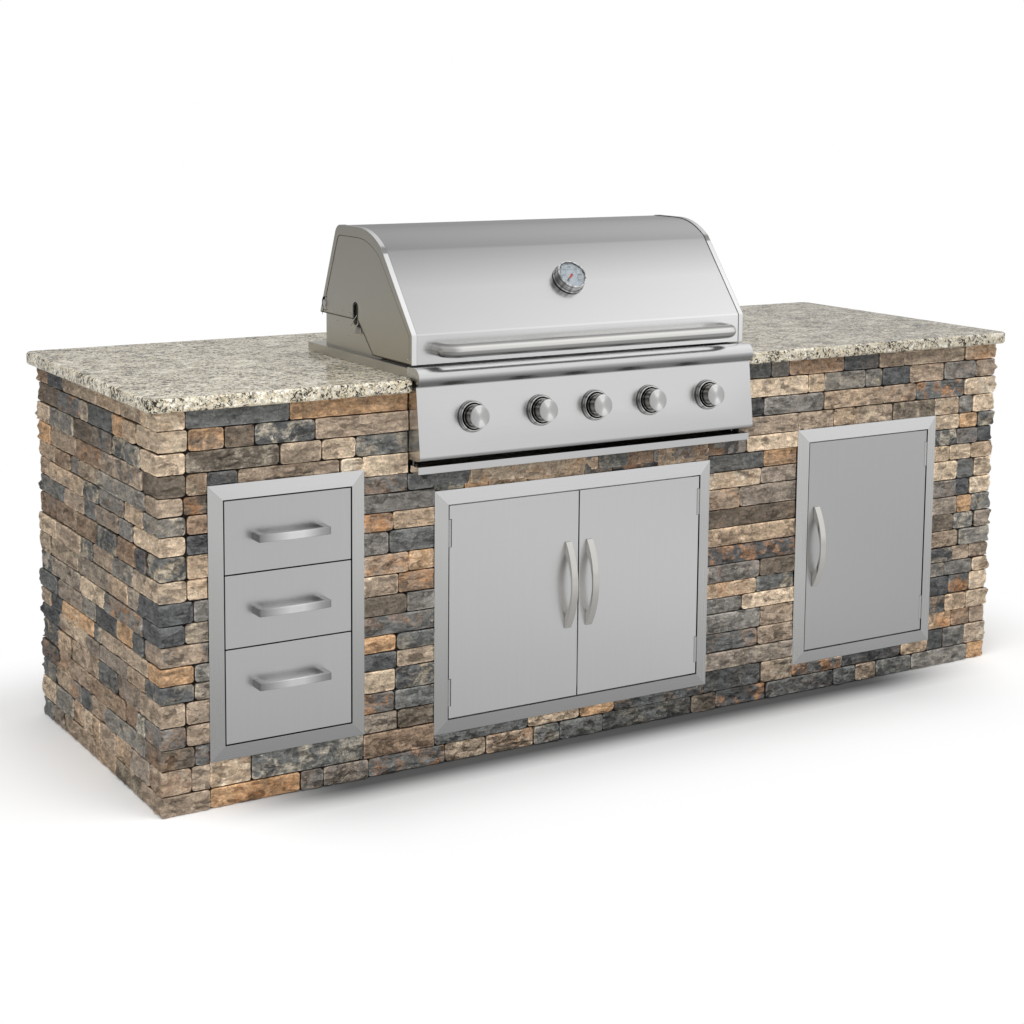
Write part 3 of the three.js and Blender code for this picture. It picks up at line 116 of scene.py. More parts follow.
link = bpy.context.scene.collection.objects.link
bpy.context.scene.view_settings.view_transform = "Standard"
camera = bpy.data.objects.new("camera", bpy.data.cameras.new("camera"))
link(camera)
bpy.context.scene.camera = camera
camera.data.lens = 66.77
camera.data.sensor_width = 36
camera.data.shift_y = -180 / 1024
camera.data.clip_end = 60
camera_place = (-2.6067, -4.10148, 1.54972)
heading, tip, roll = -0.546104, 0.124773, 0.008673
across = Vector((math.cos(heading), math.sin(heading), 0))
ahead = Vector((-math.sin(heading) * math.cos(tip), math.cos(heading) * math.cos(tip), -math.sin(tip)))
above = across.cross(ahead)
camera_right = math.cos(roll) * across + math.sin(roll) * above
camera_up = math.cos(roll) * above - math.sin(roll) * across
camera_axes = Matrix((camera_right, camera_up, -ahead)).transposed().to_4x4()
camera.matrix_world = Matrix.Translation(camera_place) @ camera_axes

# The walls that the steel mirrors are dimmer to the left, and low down behind the island.
world = bpy.data.worlds.new("room")
bpy.context.scene.world = world
world.use_nodes = True
tree = world.node_tree
tree.nodes.clear()
path = add("LightPath", {}, tree)
seen = calc("MAXIMUM", path["Is Camera Ray"], path["Is Transmission Ray"])
x, y, z = axes(add("TexCoord", {}, tree)["Generated"])
walls = ramp(z, [(0, 0.84), (0.3, 0.86), (0.55, 0.9), (0.8, 1), (1, 1)])
low_behind = calc("MULTIPLY", rescale(z, 0.15, 0.7, 0.5, 0), rescale(y, -0.1, 0.4))
dim = calc("SUBTRACT", 1.0, low_behind)
dim = calc("MULTIPLY", dim, rescale(x, -0.4, 0.58, 0.45, 1))
mirror = add("Background", {"Color": tinted(walls, dim), "Strength": 1})[0]
air = add("Background", {"Color": colour("e6e6e6"), "Strength": 0.8}, tree)[0]
white = add("Background", {"Color": (1, 1, 1, 1), "Strength": 1}, tree)[0]
mixed = either(seen, either(path["Is Glossy Ray"], air, mirror), white)
add("OutputWorld", {"Surface": mixed})

for name, place, aim, size, power in (
    ("overhead_lamp", (-0.4, -1.6, 4.2), (0, 0.1, 0.4), (4.5, 2.6), 120),
    ("front_lamp", (-3.4, -4.6, 2.6), (0, -0.3, 0.5), (2.4, 2.0), 45),
):
    lamp = bpy.data.objects.new(name, bpy.data.lights.new(name, "AREA"))
    lamp.data.shape = "RECTANGLE"
    lamp.data.size, lamp.data.size_y = size
    lamp.data.energy = power
    lamp.visible_glossy = False
    beam = Vector(aim) - Vector(place)
    lamp.matrix_world = Matrix.Translation(place) @ beam.to_track_quat("-Z", "Y").to_matrix().to_4x4()
    link(lamp)

# The floor turns to pure white within half a metre of the island's foot. A soft shadow lies close
# along the front and the back: the lamps cast part of it, and the rest is painted shadow in the
# floor's colour, which fades towards the ends.
foot_half, shadow_reach = (1.21, 0.41, 0), 0.9
paper = bpy.data.materials.new("paper_floor")
paper.use_nodes = True
tree = paper.node_tree
tree.nodes.clear()
path = add("LightPath", {}, tree)
ground = add("TexCoord", {}, tree)["Object"]
ground_x = axes(ground)["X"]
beside = axes(vector("SUBTRACT", vector("ABSOLUTE", ground), foot_half))
away = calc("MAXIMUM", beside["X"], beside["Y"])
share = rescale(away, 0, 0.55, interpolation_type="SMOOTHSTEP")
half_seen = calc("MULTIPLY", path["Is Camera Ray"], share)
painted_contact_shadow = ramp(rescale(beside["Y"], 0, shadow_reach), [
    (0, 0.1), (0.03, 0.22), (0.07, 0.46), (0.11, 0.65), (0.23, 0.75), (0.35, 0.83), (0.6, 0.92), (1, 1)])
beyond = rescale(calc("ABSOLUTE", ground_x), 0.75, 1.2, interpolation_type="SMOOTHSTEP")
sheet = add("BsdfDiffuse", {"Color": mix(beyond, painted_contact_shadow, (1, 1, 1, 1))})[0]
glow = add("Emission", {"Color": (1, 1, 1, 1), "Strength": 1}, tree)[0]
# Seen in the steel, the floor glows with painted shade: darker close to the island and off to its left.
fade = ramp(rescale(away, 0, 10), [(0, 0.5), (0.1, 0.68), (0.32, 0.77), (0.6, 0.84), (1, 0.9)])
fade_sides = ramp(rescale(ground_x, -5, 5), [
    (0, 0.45), (0.43, 0.84), (0.52, 0.88), (0.59, 1), (0.63, 1), (0.7, 0.86), (1, 0.84)])
mirrored = add("Emission", {"Color": tinted(fade, fade_sides), "Strength": 1})[0]
mixed = either(path["Is Glossy Ray"], either(half_seen, sheet, glow), mirrored)
add("OutputMaterial", {"Surface": mixed})
bm = bmesh.new()
bmesh.ops.create_grid(bm, x_segments=1, y_segments=1, size=30)
floor_mesh = bpy.data.meshes.new("floor")
bm.to_mesh(floor_mesh)
bm.free()
floor_mesh.materials.append(paper)
floor = bpy.data.objects.new("floor", floor_mesh)
link(floor)


# The steel frame: floor tracks with four portals of folded galvanised channel standing in them,
# screwed together. The zinc has a faint spangle and a dull bloom.
def material(name, metallic=0.0):
    made = bpy.data.materials.new(name)
    made.use_nodes = True
    shader = made.node_tree.nodes["Principled BSDF"]
    shader.inputs["Metallic"].default_value = metallic
    return made, made.node_tree, shader


def here(tree):
    return add("TexCoord", {}, tree)["Object"]


def cloud(spot, scale, detail=2.0, roughness=0.5, distortion=0.0):
    kind = {"Scale": scale, "Detail": detail, "Roughness": roughness, "Distortion": distortion}
    return add("TexNoise", {"Vector": spot, **kind})[0]


def finish_node(name, made):
    node = frame["nodes"][name]
    node.data.materials.clear()
    node.data.materials.append(made)


zinc, tree, shader = material("zinc", 1.0)
spangle = add("TexVoronoi", {"Vector": here(tree), "Scale": 70.0})["Color"]
bloom = cloud(here(tree), 9.0, 5.0)
plug(shader, {
    "Base Color": ramp(spangle, [(0, "9ea3a6"), (1, "b9bdbf")]),
    "Roughness": rescale(bloom, 0, 1, 0.4, 0.62),
})
for name in (
    "base_track_front", "base_track_back", "end_frame_left", "end_frame_right",
    "bay_frame_left", "bay_frame_right",
):
    finish_node(name, zinc)


# The walls: nineteen courses of tumbled split stone laid tight over dark mortar, with a stone bent
# round every corner. Each stone is dressed to about 45 mm high and has a chipped, ledged face.
course_shares = [46, 56, 46, 48, 52, 40, 40, 46, 46, 48, 47, 53, 43, 43, 41, 48, 48, 48, 42]
wall_low, wall_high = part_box("stone_wall_front")
island_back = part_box("stone_wall_back")[1].y
wall_top = wall_high.z
course_heights = [0.0]
for share in course_shares:
    course_heights.append(course_heights[-1] + wall_top * share / sum(course_shares))
joint_depth = 0.012
least_stone = 0.014
stone_tones = [
    ("6f706e", 15), ("84807a", 14), ("5c5d5d", 11), ("968a7d", 13), ("a89683", 14),
    ("bba48b", 13), ("cdb89f", 10), ("947e6a", 7), ("72685c", 6), ("be9a76", 5),
]
stain_tones = [("b0835c", 5), ("c4b59c", 5), ("8a7865", 4), ("d3c8b4", 3), ("666665", 4)]
# With these seeds every run lays the same stones, with the same chips.
chance = random.Random(5)
noise.seed_set(5)
corner_legs = {}
for corner in ("front_left", "front_right", "back_left", "back_right"):
    corner_legs[corner] = []
    for _ in course_shares:
        corner_legs[corner].append((
            chance.choice((0.058, 0.064, 0.070, 0.078, 0.112)),
            chance.choice((0.075, 0.095, 0.125, 0.160)),
        ))


# A wall's length s runs on round both its corners, so a corner stone is laid like any other.
def on_wall(wall, s, out, z):
    start, along, normal, length = wall
    if s < 0:
        return start + normal * s - along * out + Vector((0, 0, z))
    if s > length:
        return start + along * (length + out) - normal * (s - length) + Vector((0, 0, z))
    side = -out if s == 0 else out if s == length else 0
    return start + along * (s + side) + normal * out + Vector((0, 0, z))


# A stone's rows of points lie close over its worn edge, then 8.5 mm apart. A side that is cut
# against steel stays sharp, and a stone that is bent round a corner has three rows at the fold.
worn_edge, worn_out, row_step, fold_gap = 0.0026, 0.0062, 0.0085, 0.004


def stations(low, high, cut_low, cut_high, folds=()):
    places = [low, low + (0.0001 if cut_low else 0.0008), low + worn_edge, low + worn_out]
    places += [high - worn_out, high - worn_edge, high - (0.0001 if cut_high else 0.0008), high]
    flat = high - low - 2 * worn_out
    steps = max(1, round(flat / row_step))
    places += [low + worn_out + flat * i / steps for i in range(1, steps)]
    for fold in folds:
        if low < fold < high:
            places = [p for p in places if abs(p - fold) > 2 * fold_gap]
            places += [fold - fold_gap, fold, fold + fold_gap]
    return sorted(places)


# Flat chips of stone, each leaning its own way, about 25 mm wide.
def chip(s, z, seed):
    moved = Vector((s * 36 + seed, z * 46, seed))
    moved += noise.noise_vector(moved * 1.3) * 0.35
    middle = noise.voronoi(moved)[1][0]
    lean = noise.cell_vector(middle * 7.3)
    return (moved - middle).dot(lean) * 0.0066


def pick(chance, tones):
    return Vector(colour(chance.choices([t for t, _ in tones], [w for _, w in tones])[0])[:3])


# From the joint inwards, the share of the relief that each ring of points has, and how far it is worn.
ring_relief, ring_wear = (0, 0.25, 0.65, 1), (0, 0.0019, 0.0005, 0)
no_cuts = (False, False, False, False)


# Half a joint is 0.5 to 1.1 mm wide. A face stands up to 3 mm proud or back and leans a little, and
# its corners are worn to a radius of 5 to 11 mm. Its first ring of points lies deep in the joint.
def lay_stone(bm, layers, wall, s0, s1, z0, z1, chance, cut=no_cuts):
    joint = chance.uniform(0.0005, 0.0011)
    s0, s1 = s0 + (0 if cut[0] else joint), s1 - (0 if cut[1] else joint)
    z0, z1 = z0 + (0 if cut[2] else joint), z1 - (0 if cut[3] else joint)
    length = wall[3]
    columns = stations(s0, s1, cut[0], cut[1], (0, length))
    rows = stations(z0, z1, cut[2], cut[3])
    proud = chance.uniform(-0.0025, 0.0030)
    lean_s, lean_z = chance.uniform(-0.0016, 0.0016), chance.uniform(-0.0016, 0.0016)
    seed = chance.uniform(0, 900)
    tone = pick(chance, stone_tones) * chance.uniform(0.86, 1.14)
    stain = pick(chance, stain_tones) * chance.uniform(0.85, 1.15)
    stained = chance.choice((0.1, 0.2, 0.35, 0.5, 0.7, 0.9))
    shift = Vector((seed * 0.37, seed * 0.71, seed * 0.53))
    corner = min(chance.uniform(0.005, 0.011), (s1 - s0) * 0.42, (z1 - z0) * 0.42)
    stone = bmesh.ops.create_grid(bm, x_segments=len(columns) - 1, y_segments=len(rows) - 1, size=1)["verts"]
    for number, vert in enumerate(stone):
        i, j = number % len(columns), number // len(columns)
        s, z = columns[i], rows[j]
        ring = min(i, len(columns) - 1 - i, j, len(rows) - 1 - j, 3)
        out = proud + lean_s * (s - s0) / (s1 - s0) + lean_z * (z - z0) / (z1 - z0)
        relief = chip(s, z, seed) + noise.noise(Vector((s * 21 + seed, z * 47, seed))) * 0.0016
        out += relief * ring_relief[ring] - ring_wear[ring]
        if ring == 0:
            out = -joint_depth - 0.001
        left = s < (s0 + s1) / 2
        low = z < (z0 + z1) / 2
        from_end = corner - (s - s0 if left else s1 - s)
        from_bed = corner - (z - z0 if low else z1 - z)
        if from_end > 0 and from_bed > 0 and not cut[0 if left else 1] and not cut[2 if low else 3]:
            share = max(from_end, from_bed) / math.hypot(from_end, from_bed)
            s += from_end * (1 - share) * (1 if left else -1)
            z += from_bed * (1 - share) * (1 if low else -1)
        elif ring > 0 and s not in (0, length):
            s += noise.noise(Vector((seed, z * 70, s * 25))) * 0.0011
            z += noise.noise(Vector((s * 30, seed, z * 25))) * 0.0011
        if s in (0, length):
            out -= 0.0012
        vert.co = on_wall(wall, s, out, z)
        vert[layers["tone"]] = (*tone, ring / 3)
        vert[layers["stain"]] = (*stain, stained)
        vert[layers["shift"]] = shift


# A run of wall is laid with stones from 60 to 240 mm long, and its last stretch is halved at will.
def lay_row(bm, layers, wall, s0, s1, z0, z1, chance, cut=no_cuts):
    if z1 - z0 < least_stone or s1 - s0 < least_stone:
        return
    cuts = [s0]
    while s1 - cuts[-1] > 0.30:
        step = chance.choice((0.06, 0.075, 0.09, 0.11, 0.13, 0.15, 0.18, 0.21, 0.24))
        cuts.append(cuts[-1] + step * chance.uniform(0.88, 1.12))
    if s1 - cuts[-1] > 0.13 and chance.random() < 0.75:
        cuts.append(cuts[-1] + (s1 - cuts[-1]) * chance.uniform(0.35, 0.65))
    cuts.append(s1)
    for low, high in zip(cuts, cuts[1:]):
        ends = (cut[0] and low == s0, cut[1] and high == s1, cut[2], cut[3])
        lay_stone(bm, layers, wall, low, high, z0, z1, chance, ends)


# The mortar is the wall's own solid, cut back behind the stones' faces.
def mortar_bed(bm, node, cuts):
    bed = bmesh.new()
    bed.from_mesh(frame["nodes"][node].data)
    bmesh.ops.remove_doubles(bed, verts=bed.verts, dist=1e-6)
    for point, normal in cuts:
        whole = bed.verts[:] + bed.edges[:] + bed.faces[:]
        cut = bmesh.ops.bisect_plane(bed, geom=whole, plane_co=point, plane_no=normal, clear_outer=True)
        rim = [e for e in cut["geom_cut"] if isinstance(e, bmesh.types.BMEdge)]
        bmesh.ops.triangle_fill(bed, edges=rim, use_beauty=True, normal=normal)
    bmesh.ops.recalc_face_normals(bed, faces=bed.faces)
    carried = bpy.data.meshes.new("bed")
    bed.to_mesh(carried)
    bed.free()
    bm.from_mesh(carried)
    bpy.data.meshes.remove(carried)


def show(name, bm, body, slot, *finishes, smooth_angle=None):
    if smooth_angle is not None:
        for face in bm.faces:
            face.smooth = True
        for edge in bm.edges:
            edge.smooth = edge.calc_face_angle(0) < math.radians(smooth_angle)
    mesh = bpy.data.meshes.new(name)
    bm.to_mesh(mesh)
    bm.free()
    for made in finishes:
        mesh.materials.append(made)
    piece = bpy.data.objects.new(name, mesh)
    link(piece)
    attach(piece, body)
    return piece


def group(name, inputs, outputs):
    tree = bpy.data.node_groups.new(name, "ShaderNodeTree")
    for label, kind, value in inputs:
        socket = tree.interface.new_socket(label, in_out="INPUT", socket_type="NodeSocket" + kind)
        socket.default_value = value
    for label in outputs:
        tree.interface.new_socket(label, in_out="OUTPUT", socket_type="NodeSocketFloat")
    return tree, tree.nodes.new("NodeGroupInput").outputs, tree.nodes.new("NodeGroupOutput")


def bump(height, strength, distance, **under):
    return add("Bump", {"Height": height, "Strength": strength, "Distance": distance, **under})[0]


# A split face is made of flat chips, each leaning its own way, at two sizes. Heights are in metres.
# Its Shade is painted light and shade: chips that face upwards are paler, those facing down darker.
chips, ins, outs = group("split_chips", [("Vector", "Vector", (0, 0, 0))], ["Height", "Shade"])
warp = add("TexNoise", {"Vector": ins["Vector"], "Scale": 34.0, "Detail": 3.0, "Roughness": 0.6})
bent = vector("MULTIPLY_ADD", warp["Color"], (0.022, 0.022, 0.022), ins["Vector"])
low_chips = vector("MULTIPLY", bent, (0.64, 0.64, 1.6))
heights, shades = [], []
for scale, steep, contrast in ((46.0, 0.85, 0.50), (118.0, 0.75, 0.36)):
    cell = add("TexVoronoi", {"Vector": low_chips, "Scale": scale, "Randomness": 1.0})
    offset = vector("SUBTRACT", low_chips, cell["Position"])
    lean = vector("SUBTRACT", cell["Color"], (0.5, 0.5, 0.5))
    raised = add("VectorMath", {0: offset, 1: lean}, operation="DOT_PRODUCT")["Value"]
    heights.append(calc("MULTIPLY", raised, steep))
    shades.append(calc("MULTIPLY", axes(lean)["Z"], -contrast))
crumbs = cloud(ins["Vector"], 95.0, 6.0, 0.68)
plug(outs, {
    "Height": calc("MULTIPLY_ADD", crumbs, 0.0050, calc("ADD", *heights)),
    "Shade": calc("ADD", calc("ADD", *shades), 1.0),
})

# Each stone has its own tone and stain, and broken ledges that run along it. Painted shade makes it
# darkest deep in the joint, and a painted highlight makes it palest on its worn edge.
rock, tree, shader = material("split_stone")
tone = add("VertexColor", {}, tree, layer_name="tone")
stain = add("VertexColor", {}, tree, layer_name="stain")
shift = add("Attribute", {}, tree, attribute_name="shift")["Vector"]
own = vector("ADD", here(tree), shift)
relief = add("Group", {"Vector": own}, node_tree=chips)
stain_edge = rescale(cloud(own, 22.0, 6.0, 0.7, 0.6), 0.47, 0.62)
two_toned = mix(calc("MULTIPLY", stain_edge, stain["Alpha"]), tone["Color"], stain["Color"])
grain = cloud(own, 210.0, 4.0, 0.75)
mottle = cloud(own, 62.0, 3.0, 0.6)
ledges = cloud(vector("MULTIPLY", own, (17.0, 17.0, 88.0)), 1.0, 4.0, 0.6, 0.8)
painted_joint_shade_and_edge_light = ramp(tone["Alpha"], [(0, 0.04), (0.22, 0.2), (0.36, 0.88), (0.66, 0.6), (1, 0.5)])
# The colour is multiplied by the chips' painted light and shade, the grain, the mottle, the ledges' bands,
# and the painted shade and highlight by the joint.
shade = relief["Shade"]
for light in (
    rescale(grain, 0.3, 0.7, 0.66, 1.34),
    rescale(mottle, 0.32, 0.68, 0.82, 1.2),
    rescale(ledges, 0.35, 0.65, 0.8, 1.24),
    calc("MULTIPLY", painted_joint_shade_and_edge_light, 2.0),
):
    shade = calc("MULTIPLY", shade, light)
coarse = bump(relief["Height"], 1.0, 1.0)
broken = bump(ledges, 0.6, 0.004, Normal=coarse)
plug(shader, {
    "Base Color": tinted(two_toned, shade),
    "Normal": bump(grain, 0.7, 0.0012, Normal=broken),
    "Roughness": 0.82,
    "Specular IOR Level": 0.3,
})


# A finish of two tones in small specks, with a range of roughness and dents of some depth.
def speckled(name, scale, detail, tones, roughness, dents=None, metallic=0.0):
    made, tree, shader = material(name, metallic)
    specks = cloud(here(tree), scale, detail)
    plug(shader, {
        "Base Color": ramp(specks, [(0, tones[0]), (1, tones[1])]),
        "Roughness": rescale(specks, 0, 1, *roughness),
    })
    if dents:
        plug(shader, {"Normal": bump(specks, *dents)})
    return made


mortar = speckled("dark_mortar", 180.0, 4.0, ("1c1a18", "3a3530"), (0.95, 0.95), (0.6, 0.001))

# The stones reach 0.6 mm under the steel borders, and stop short of the drip tray's front strip.
tucked, strip_beside, strip_below = 0.0006, 0.004, 0.005
covers = []
for name in ("drawer_housing", "double_door_frame", "single_door_frame"):
    low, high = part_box(name)
    from_s, to_s = low.x + tucked - wall_low.x, high.x - tucked - wall_low.x
    covers.append((from_s, to_s, low.z + tucked, high.z - tucked))
low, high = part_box("drip_tray")
from_s, to_s = low.x - strip_beside - wall_low.x, high.x + strip_beside - wall_low.x
covers.append((from_s, to_s, low.z - strip_below, wall_top))
covers.sort()

x_way, y_way = Vector((1, 0, 0)), Vector((0, 1, 0))
long_way, deep_way = wall_high.x - wall_low.x, island_back - wall_low.y
front_left, front_right = Vector((wall_low.x, wall_low.y, 0)), Vector((wall_high.x, wall_low.y, 0))
back_left, back_right = Vector((wall_low.x, island_back, 0)), Vector((wall_high.x, island_back, 0))
end_cuts = [((wall_low.x + joint_depth, 0, 0), -x_way), ((wall_high.x - joint_depth, 0, 0), x_way)]
for name, seed, wall, corners, cuts in (
    ("front", 11, (front_left, x_way, -y_way, long_way), ("front_left", "front_right"),
     [((0, wall_low.y + joint_depth, 0), -y_way), *end_cuts]),
    ("back", 23, (back_right, -x_way, y_way, long_way), ("back_right", "back_left"),
     [((0, island_back - joint_depth, 0), y_way), *end_cuts]),
    ("left", 37, (back_left, -y_way, -x_way, deep_way), ("back_left", "front_left"), end_cuts[:1]),
    ("right", 53, (front_right, y_way, x_way, deep_way), ("front_right", "back_right"), end_cuts[1:]),
):
    chance = random.Random(seed)
    bm = bmesh.new()
    bm.verts.layers.float_vector.new("shift")
    for label in ("tone", "stain"):
        bm.verts.layers.float_color.new(label)
    layers = {label: bm.verts.layers.float_color[label] for label in ("tone", "stain")}
    layers["shift"] = bm.verts.layers.float_vector["shift"]
    mortar_bed(bm, "stone_wall_" + name, cuts)
    bed_faces = len(bm.faces)
    length = wall[3]
    for number, (z0, z1) in enumerate(zip(course_heights, course_heights[1:])):
        first_leg, last_leg = corner_legs[corners[0]][number], corner_legs[corners[1]][number]
        blocked = []
        if name == "front":
            for low_s, high_s, low_z, high_z in covers:
                if low_z < z1 and high_z > z0:
                    blocked.append((low_s, high_s, [(z0, low_z), (high_z, z1)]))
                elif 0 <= z0 - high_z < least_stone:
                    blocked.append((low_s, high_s, [(high_z, z1)]))
                elif 0 <= low_z - z1 < least_stone:
                    blocked.append((low_s, high_s, [(z0, low_z)]))
        if name in ("front", "back"):
            reach = first_leg[0]
            if blocked and blocked[0][0] - reach < 0.03:
                reach = blocked[0][0]
            against = bool(blocked) and reach == blocked[0][0]
            lay_stone(bm, layers, wall, -first_leg[1], reach, z0, z1, chance, (False, against, False, False))
            lay_stone(bm, layers, wall, length - last_leg[0], length + last_leg[1], z0, z1, chance)
            at, end = reach, length - last_leg[0]
        else:
            at, end = first_leg[1], length - last_leg[1]
        cut_before = False
        for low_s, high_s, gaps in blocked:
            lay_row(bm, layers, wall, at, low_s, z0, z1, chance, (cut_before, True, False, False))
            for low_z, high_z in gaps:
                cut = (False, False, low_z != z0, high_z != z1)
                lay_row(bm, layers, wall, low_s, high_s, low_z, high_z, chance, cut)
            at, cut_before = high_s, True
        lay_row(bm, layers, wall, at, end, z0, z1, chance, (cut_before, False, False, False))
    bmesh.ops.holes_fill(bm, edges=[e for e in bm.edges if e.is_boundary], sides=0)
    for number, face in enumerate(bm.faces):
        face.material_index = 0 if number >= bed_faces else 1
    stones = show("stones_" + name, bm, "island", "split_stone", rock, mortar, smooth_angle=40)
    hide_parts("stone_wall_" + name)


# The countertop: one 30 mm slab of cream granite with grey clouds and black and tan crystals.
# Its top is polished, and its eased edge shows the coarse crystals best.
def clean_solid(node):
    bm = bmesh.new()
    bm.from_mesh(frame["nodes"][node].data)
    bmesh.ops.remove_doubles(bm, verts=bm.verts, dist=1e-6)
    bmesh.ops.dissolve_limit(bm, angle_limit=math.radians(0.3), verts=bm.verts, edges=bm.edges)
    return bm


def dressed(node, body, slot, *finishes, edge=0.0006, segments=2, angle=35):
    piece = show(node + "_made", clean_solid(node), body, slot, *finishes, smooth_angle=angle)
    bevel = piece.modifiers.new("edges", "BEVEL")
    bevel.width = edge
    bevel.segments = segments
    bevel.limit_method = "ANGLE"
    bevel.angle_limit = math.radians(angle)
    bevel.harden_normals = True
    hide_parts(node)
    return piece


granite, tree, shader = material("cream_granite")
place = here(tree)
warp = add("TexNoise", {"Vector": place, "Scale": 120.0, "Detail": 3.0})["Color"]
pushed = vector("MULTIPLY_ADD", warp, (0.008, 0.008, 0.008), place)
clouds = cloud(place, 17.0, 4.0, 0.6)
streaks = add("Mapping", {"Vector": pushed, "Scale": (24.0, 34.0, 34.0)})[0]
drift = calc("MULTIPLY_ADD", clouds, 1.1, -1.26)
drift = calc("MULTIPLY_ADD", cloud(streaks, 1.0, 5.0, 0.65, 1.2), 1.5, drift)
crystal_tones = [
    (0, "1e1c1a"), (0.16, "4f4c46"), (0.24, "878379"), (0.34, "a89877"), (0.42, "c4b99f"),
    (0.58, "d8ceb8"), (0.78, "bbb7ad"), (0.95, "ebe5d6"),
]
kinds, rolls = [], []
for size in (160.0, 330.0):
    cells = axes(add("TexVoronoi", {"Vector": pushed, "Scale": size})["Color"])
    kinds.append(ramp(calc("ADD", cells["X"], drift), crystal_tones, "CONSTANT"))
    rolls.append(cells["Y"])
large = rescale(rolls[0], 0.4, 0.6, 0.08, 0.92)
veil = rescale(cloud(place, 330.0, 3.0, 0.6), 0.3, 0.7, 0.88, 1.18)
# Painted shade: the slab is darker towards its right end.
painted_shade_to_right = rescale(axes(place)["X"], -1.2, 1.2, 1.05, 0.84)
plug(shader, {
    "Base Color": tinted(tinted(mix(large, kinds[1], kinds[0]), veil), painted_shade_to_right),
    "Roughness": rescale(clouds, 0, 1, 0.08, 0.2),
    "Specular IOR Level": 0.35,
})
dressed("countertop", "island", "granite", granite, edge=0.0016, segments=3, angle=25)


# The firebox and what lies in it: a welded steel box with its flange on the granite, and the
# plate, burners, grates and rack, all of plain steel a little browned by heat.
grain_group, ins, outs = group("brushed_grain", [
    ("Vector", "Vector", (0, 0, 0)), ("Stretch", "Vector", (3, 500, 500)),
    ("Roughness", "Float", 0.3), ("Spread", "Float", 0.1),
], ["Roughness", "Height", "Shade"])
stretched = add("Mapping", {"Vector": ins["Vector"], "Scale": ins["Stretch"]})[0]
lines = cloud(stretched, 1.0, 3.0, 0.7)
centred = calc("SUBTRACT", lines, 0.5)
spread = calc("MULTIPLY_ADD", centred, ins["Spread"], ins["Roughness"])
patchy = rescale(cloud(ins["Vector"], 3.5, 3.0), 0, 1, 0.9, 1.12)
plug(outs, {
    "Roughness": calc("MULTIPLY", spread, patchy),
    "Height": lines,
    "Shade": rescale(lines, 0, 1, 0.96, 1.04),
})


# Brushed steel. Its bands are painted light and shade: levels of light and dark along an axis, for what the
# part mirrors.
def brushed(name, tint, stretch, roughness, spread=0.1, depth=0.000005, bands=()):
    made, tree, shader = material(name, 1.0)
    place = here(tree)
    brushing = {"Vector": place, "Stretch": stretch, "Roughness": roughness, "Spread": spread}
    grain = add("Group", brushing, node_tree=grain_group)
    shaded = tinted(colour(tint), grain["Shade"])
    for axis, low, high, levels in bands:
        along = rescale(axes(place)[axis], low, high)
        shaded = tinted(shaded, ramp(along, levels))
    plug(shader, {
        "Base Color": shaded,
        "Roughness": grain["Roughness"],
        "Normal": bump(grain["Height"], 0.2, depth),
    })
    return made


along_x, along_y, along_z = (4, 600, 600), (600, 4, 600), (600, 600, 4)
side_steel = brushed("side_steel", "d3d0c8", along_y, 0.34)
heat_steel = brushed("heat_steel", "a39c92", along_y, 0.42, 0.2)
grate_steel = brushed("grate_steel", "a9a5a0", along_y, 0.32, 0.15)
dressed("firebox", "island", "firebox_steel", side_steel, edge=0.0006)
for name in ("heat_plate", "burner_1", "burner_2", "burner_3", "burner_4", "burner_5"):
    dressed(name, "island", "firebox_steel", heat_steel, edge=0.0003)
for name in ("cooking_grate_1", "cooking_grate_2", "cooking_grate_3"):
    dressed(name, "island", "firebox_steel", grate_steel, edge=0.0015)
bright_steel = brushed("bright_steel", "d6d6d4", along_x, 0.12, 0.06, 0.00001)
dressed("warming_rack", "island", "polished_steel", bright_steel, edge=0.002, segments=3)


# The gas train: a brass-plated pipe with a valve for each burner, cast and screwed together,
# and a turned stem in each valve.
gas_brass = brushed("gas_brass", "c9a45e", along_x, 0.3, 0.15)
finish_node("gas_manifold", gas_brass)
for number in range(1, 6):
    finish_node(f"valve_stem_{number}", gas_brass)


# The control panel: one sheet of 1.5 mm stainless steel, brushed along its length, with a rolled
# nose at the top, an inclined face for the knobs and a lip folded under at the bottom.
panel_low, panel_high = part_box("control_panel")
# The panel's bands are painted shade and reflection: a dark band under the rolled nose, and darker towards
# the lip folded under at the bottom.
panel_steel = brushed("panel_steel", "e6e6e6", along_x, 0.25, 0.08, bands=[
    ("Z", panel_low.z, panel_high.z, [
        (0, 0.6), (0.035, 0.7), (0.052, 1), (0.785, 1), (0.8, 0.4), (0.857, 0.36), (0.885, 0.62),
        (0.914, 1), (1, 1)]),
])
dressed("control_panel", "island", "brushed_steel", panel_steel, edge=0.0012, segments=3)
# The tray's strip is a slightly darker copy of the panel's steel: painted shade under the panel.
strip_steel = brushed("strip_steel", "dcdcdc", along_x, 0.25, 0.08)
dressed("drip_tray", "tray", "brushed_steel", strip_steel, edge=0.0006)


# The knobs: each a turned steel cup with a radially brushed face, on a ring of black plastic
# inside a polished bezel that is fixed to the panel.
knob_tilt = math.atan(21 / 168)


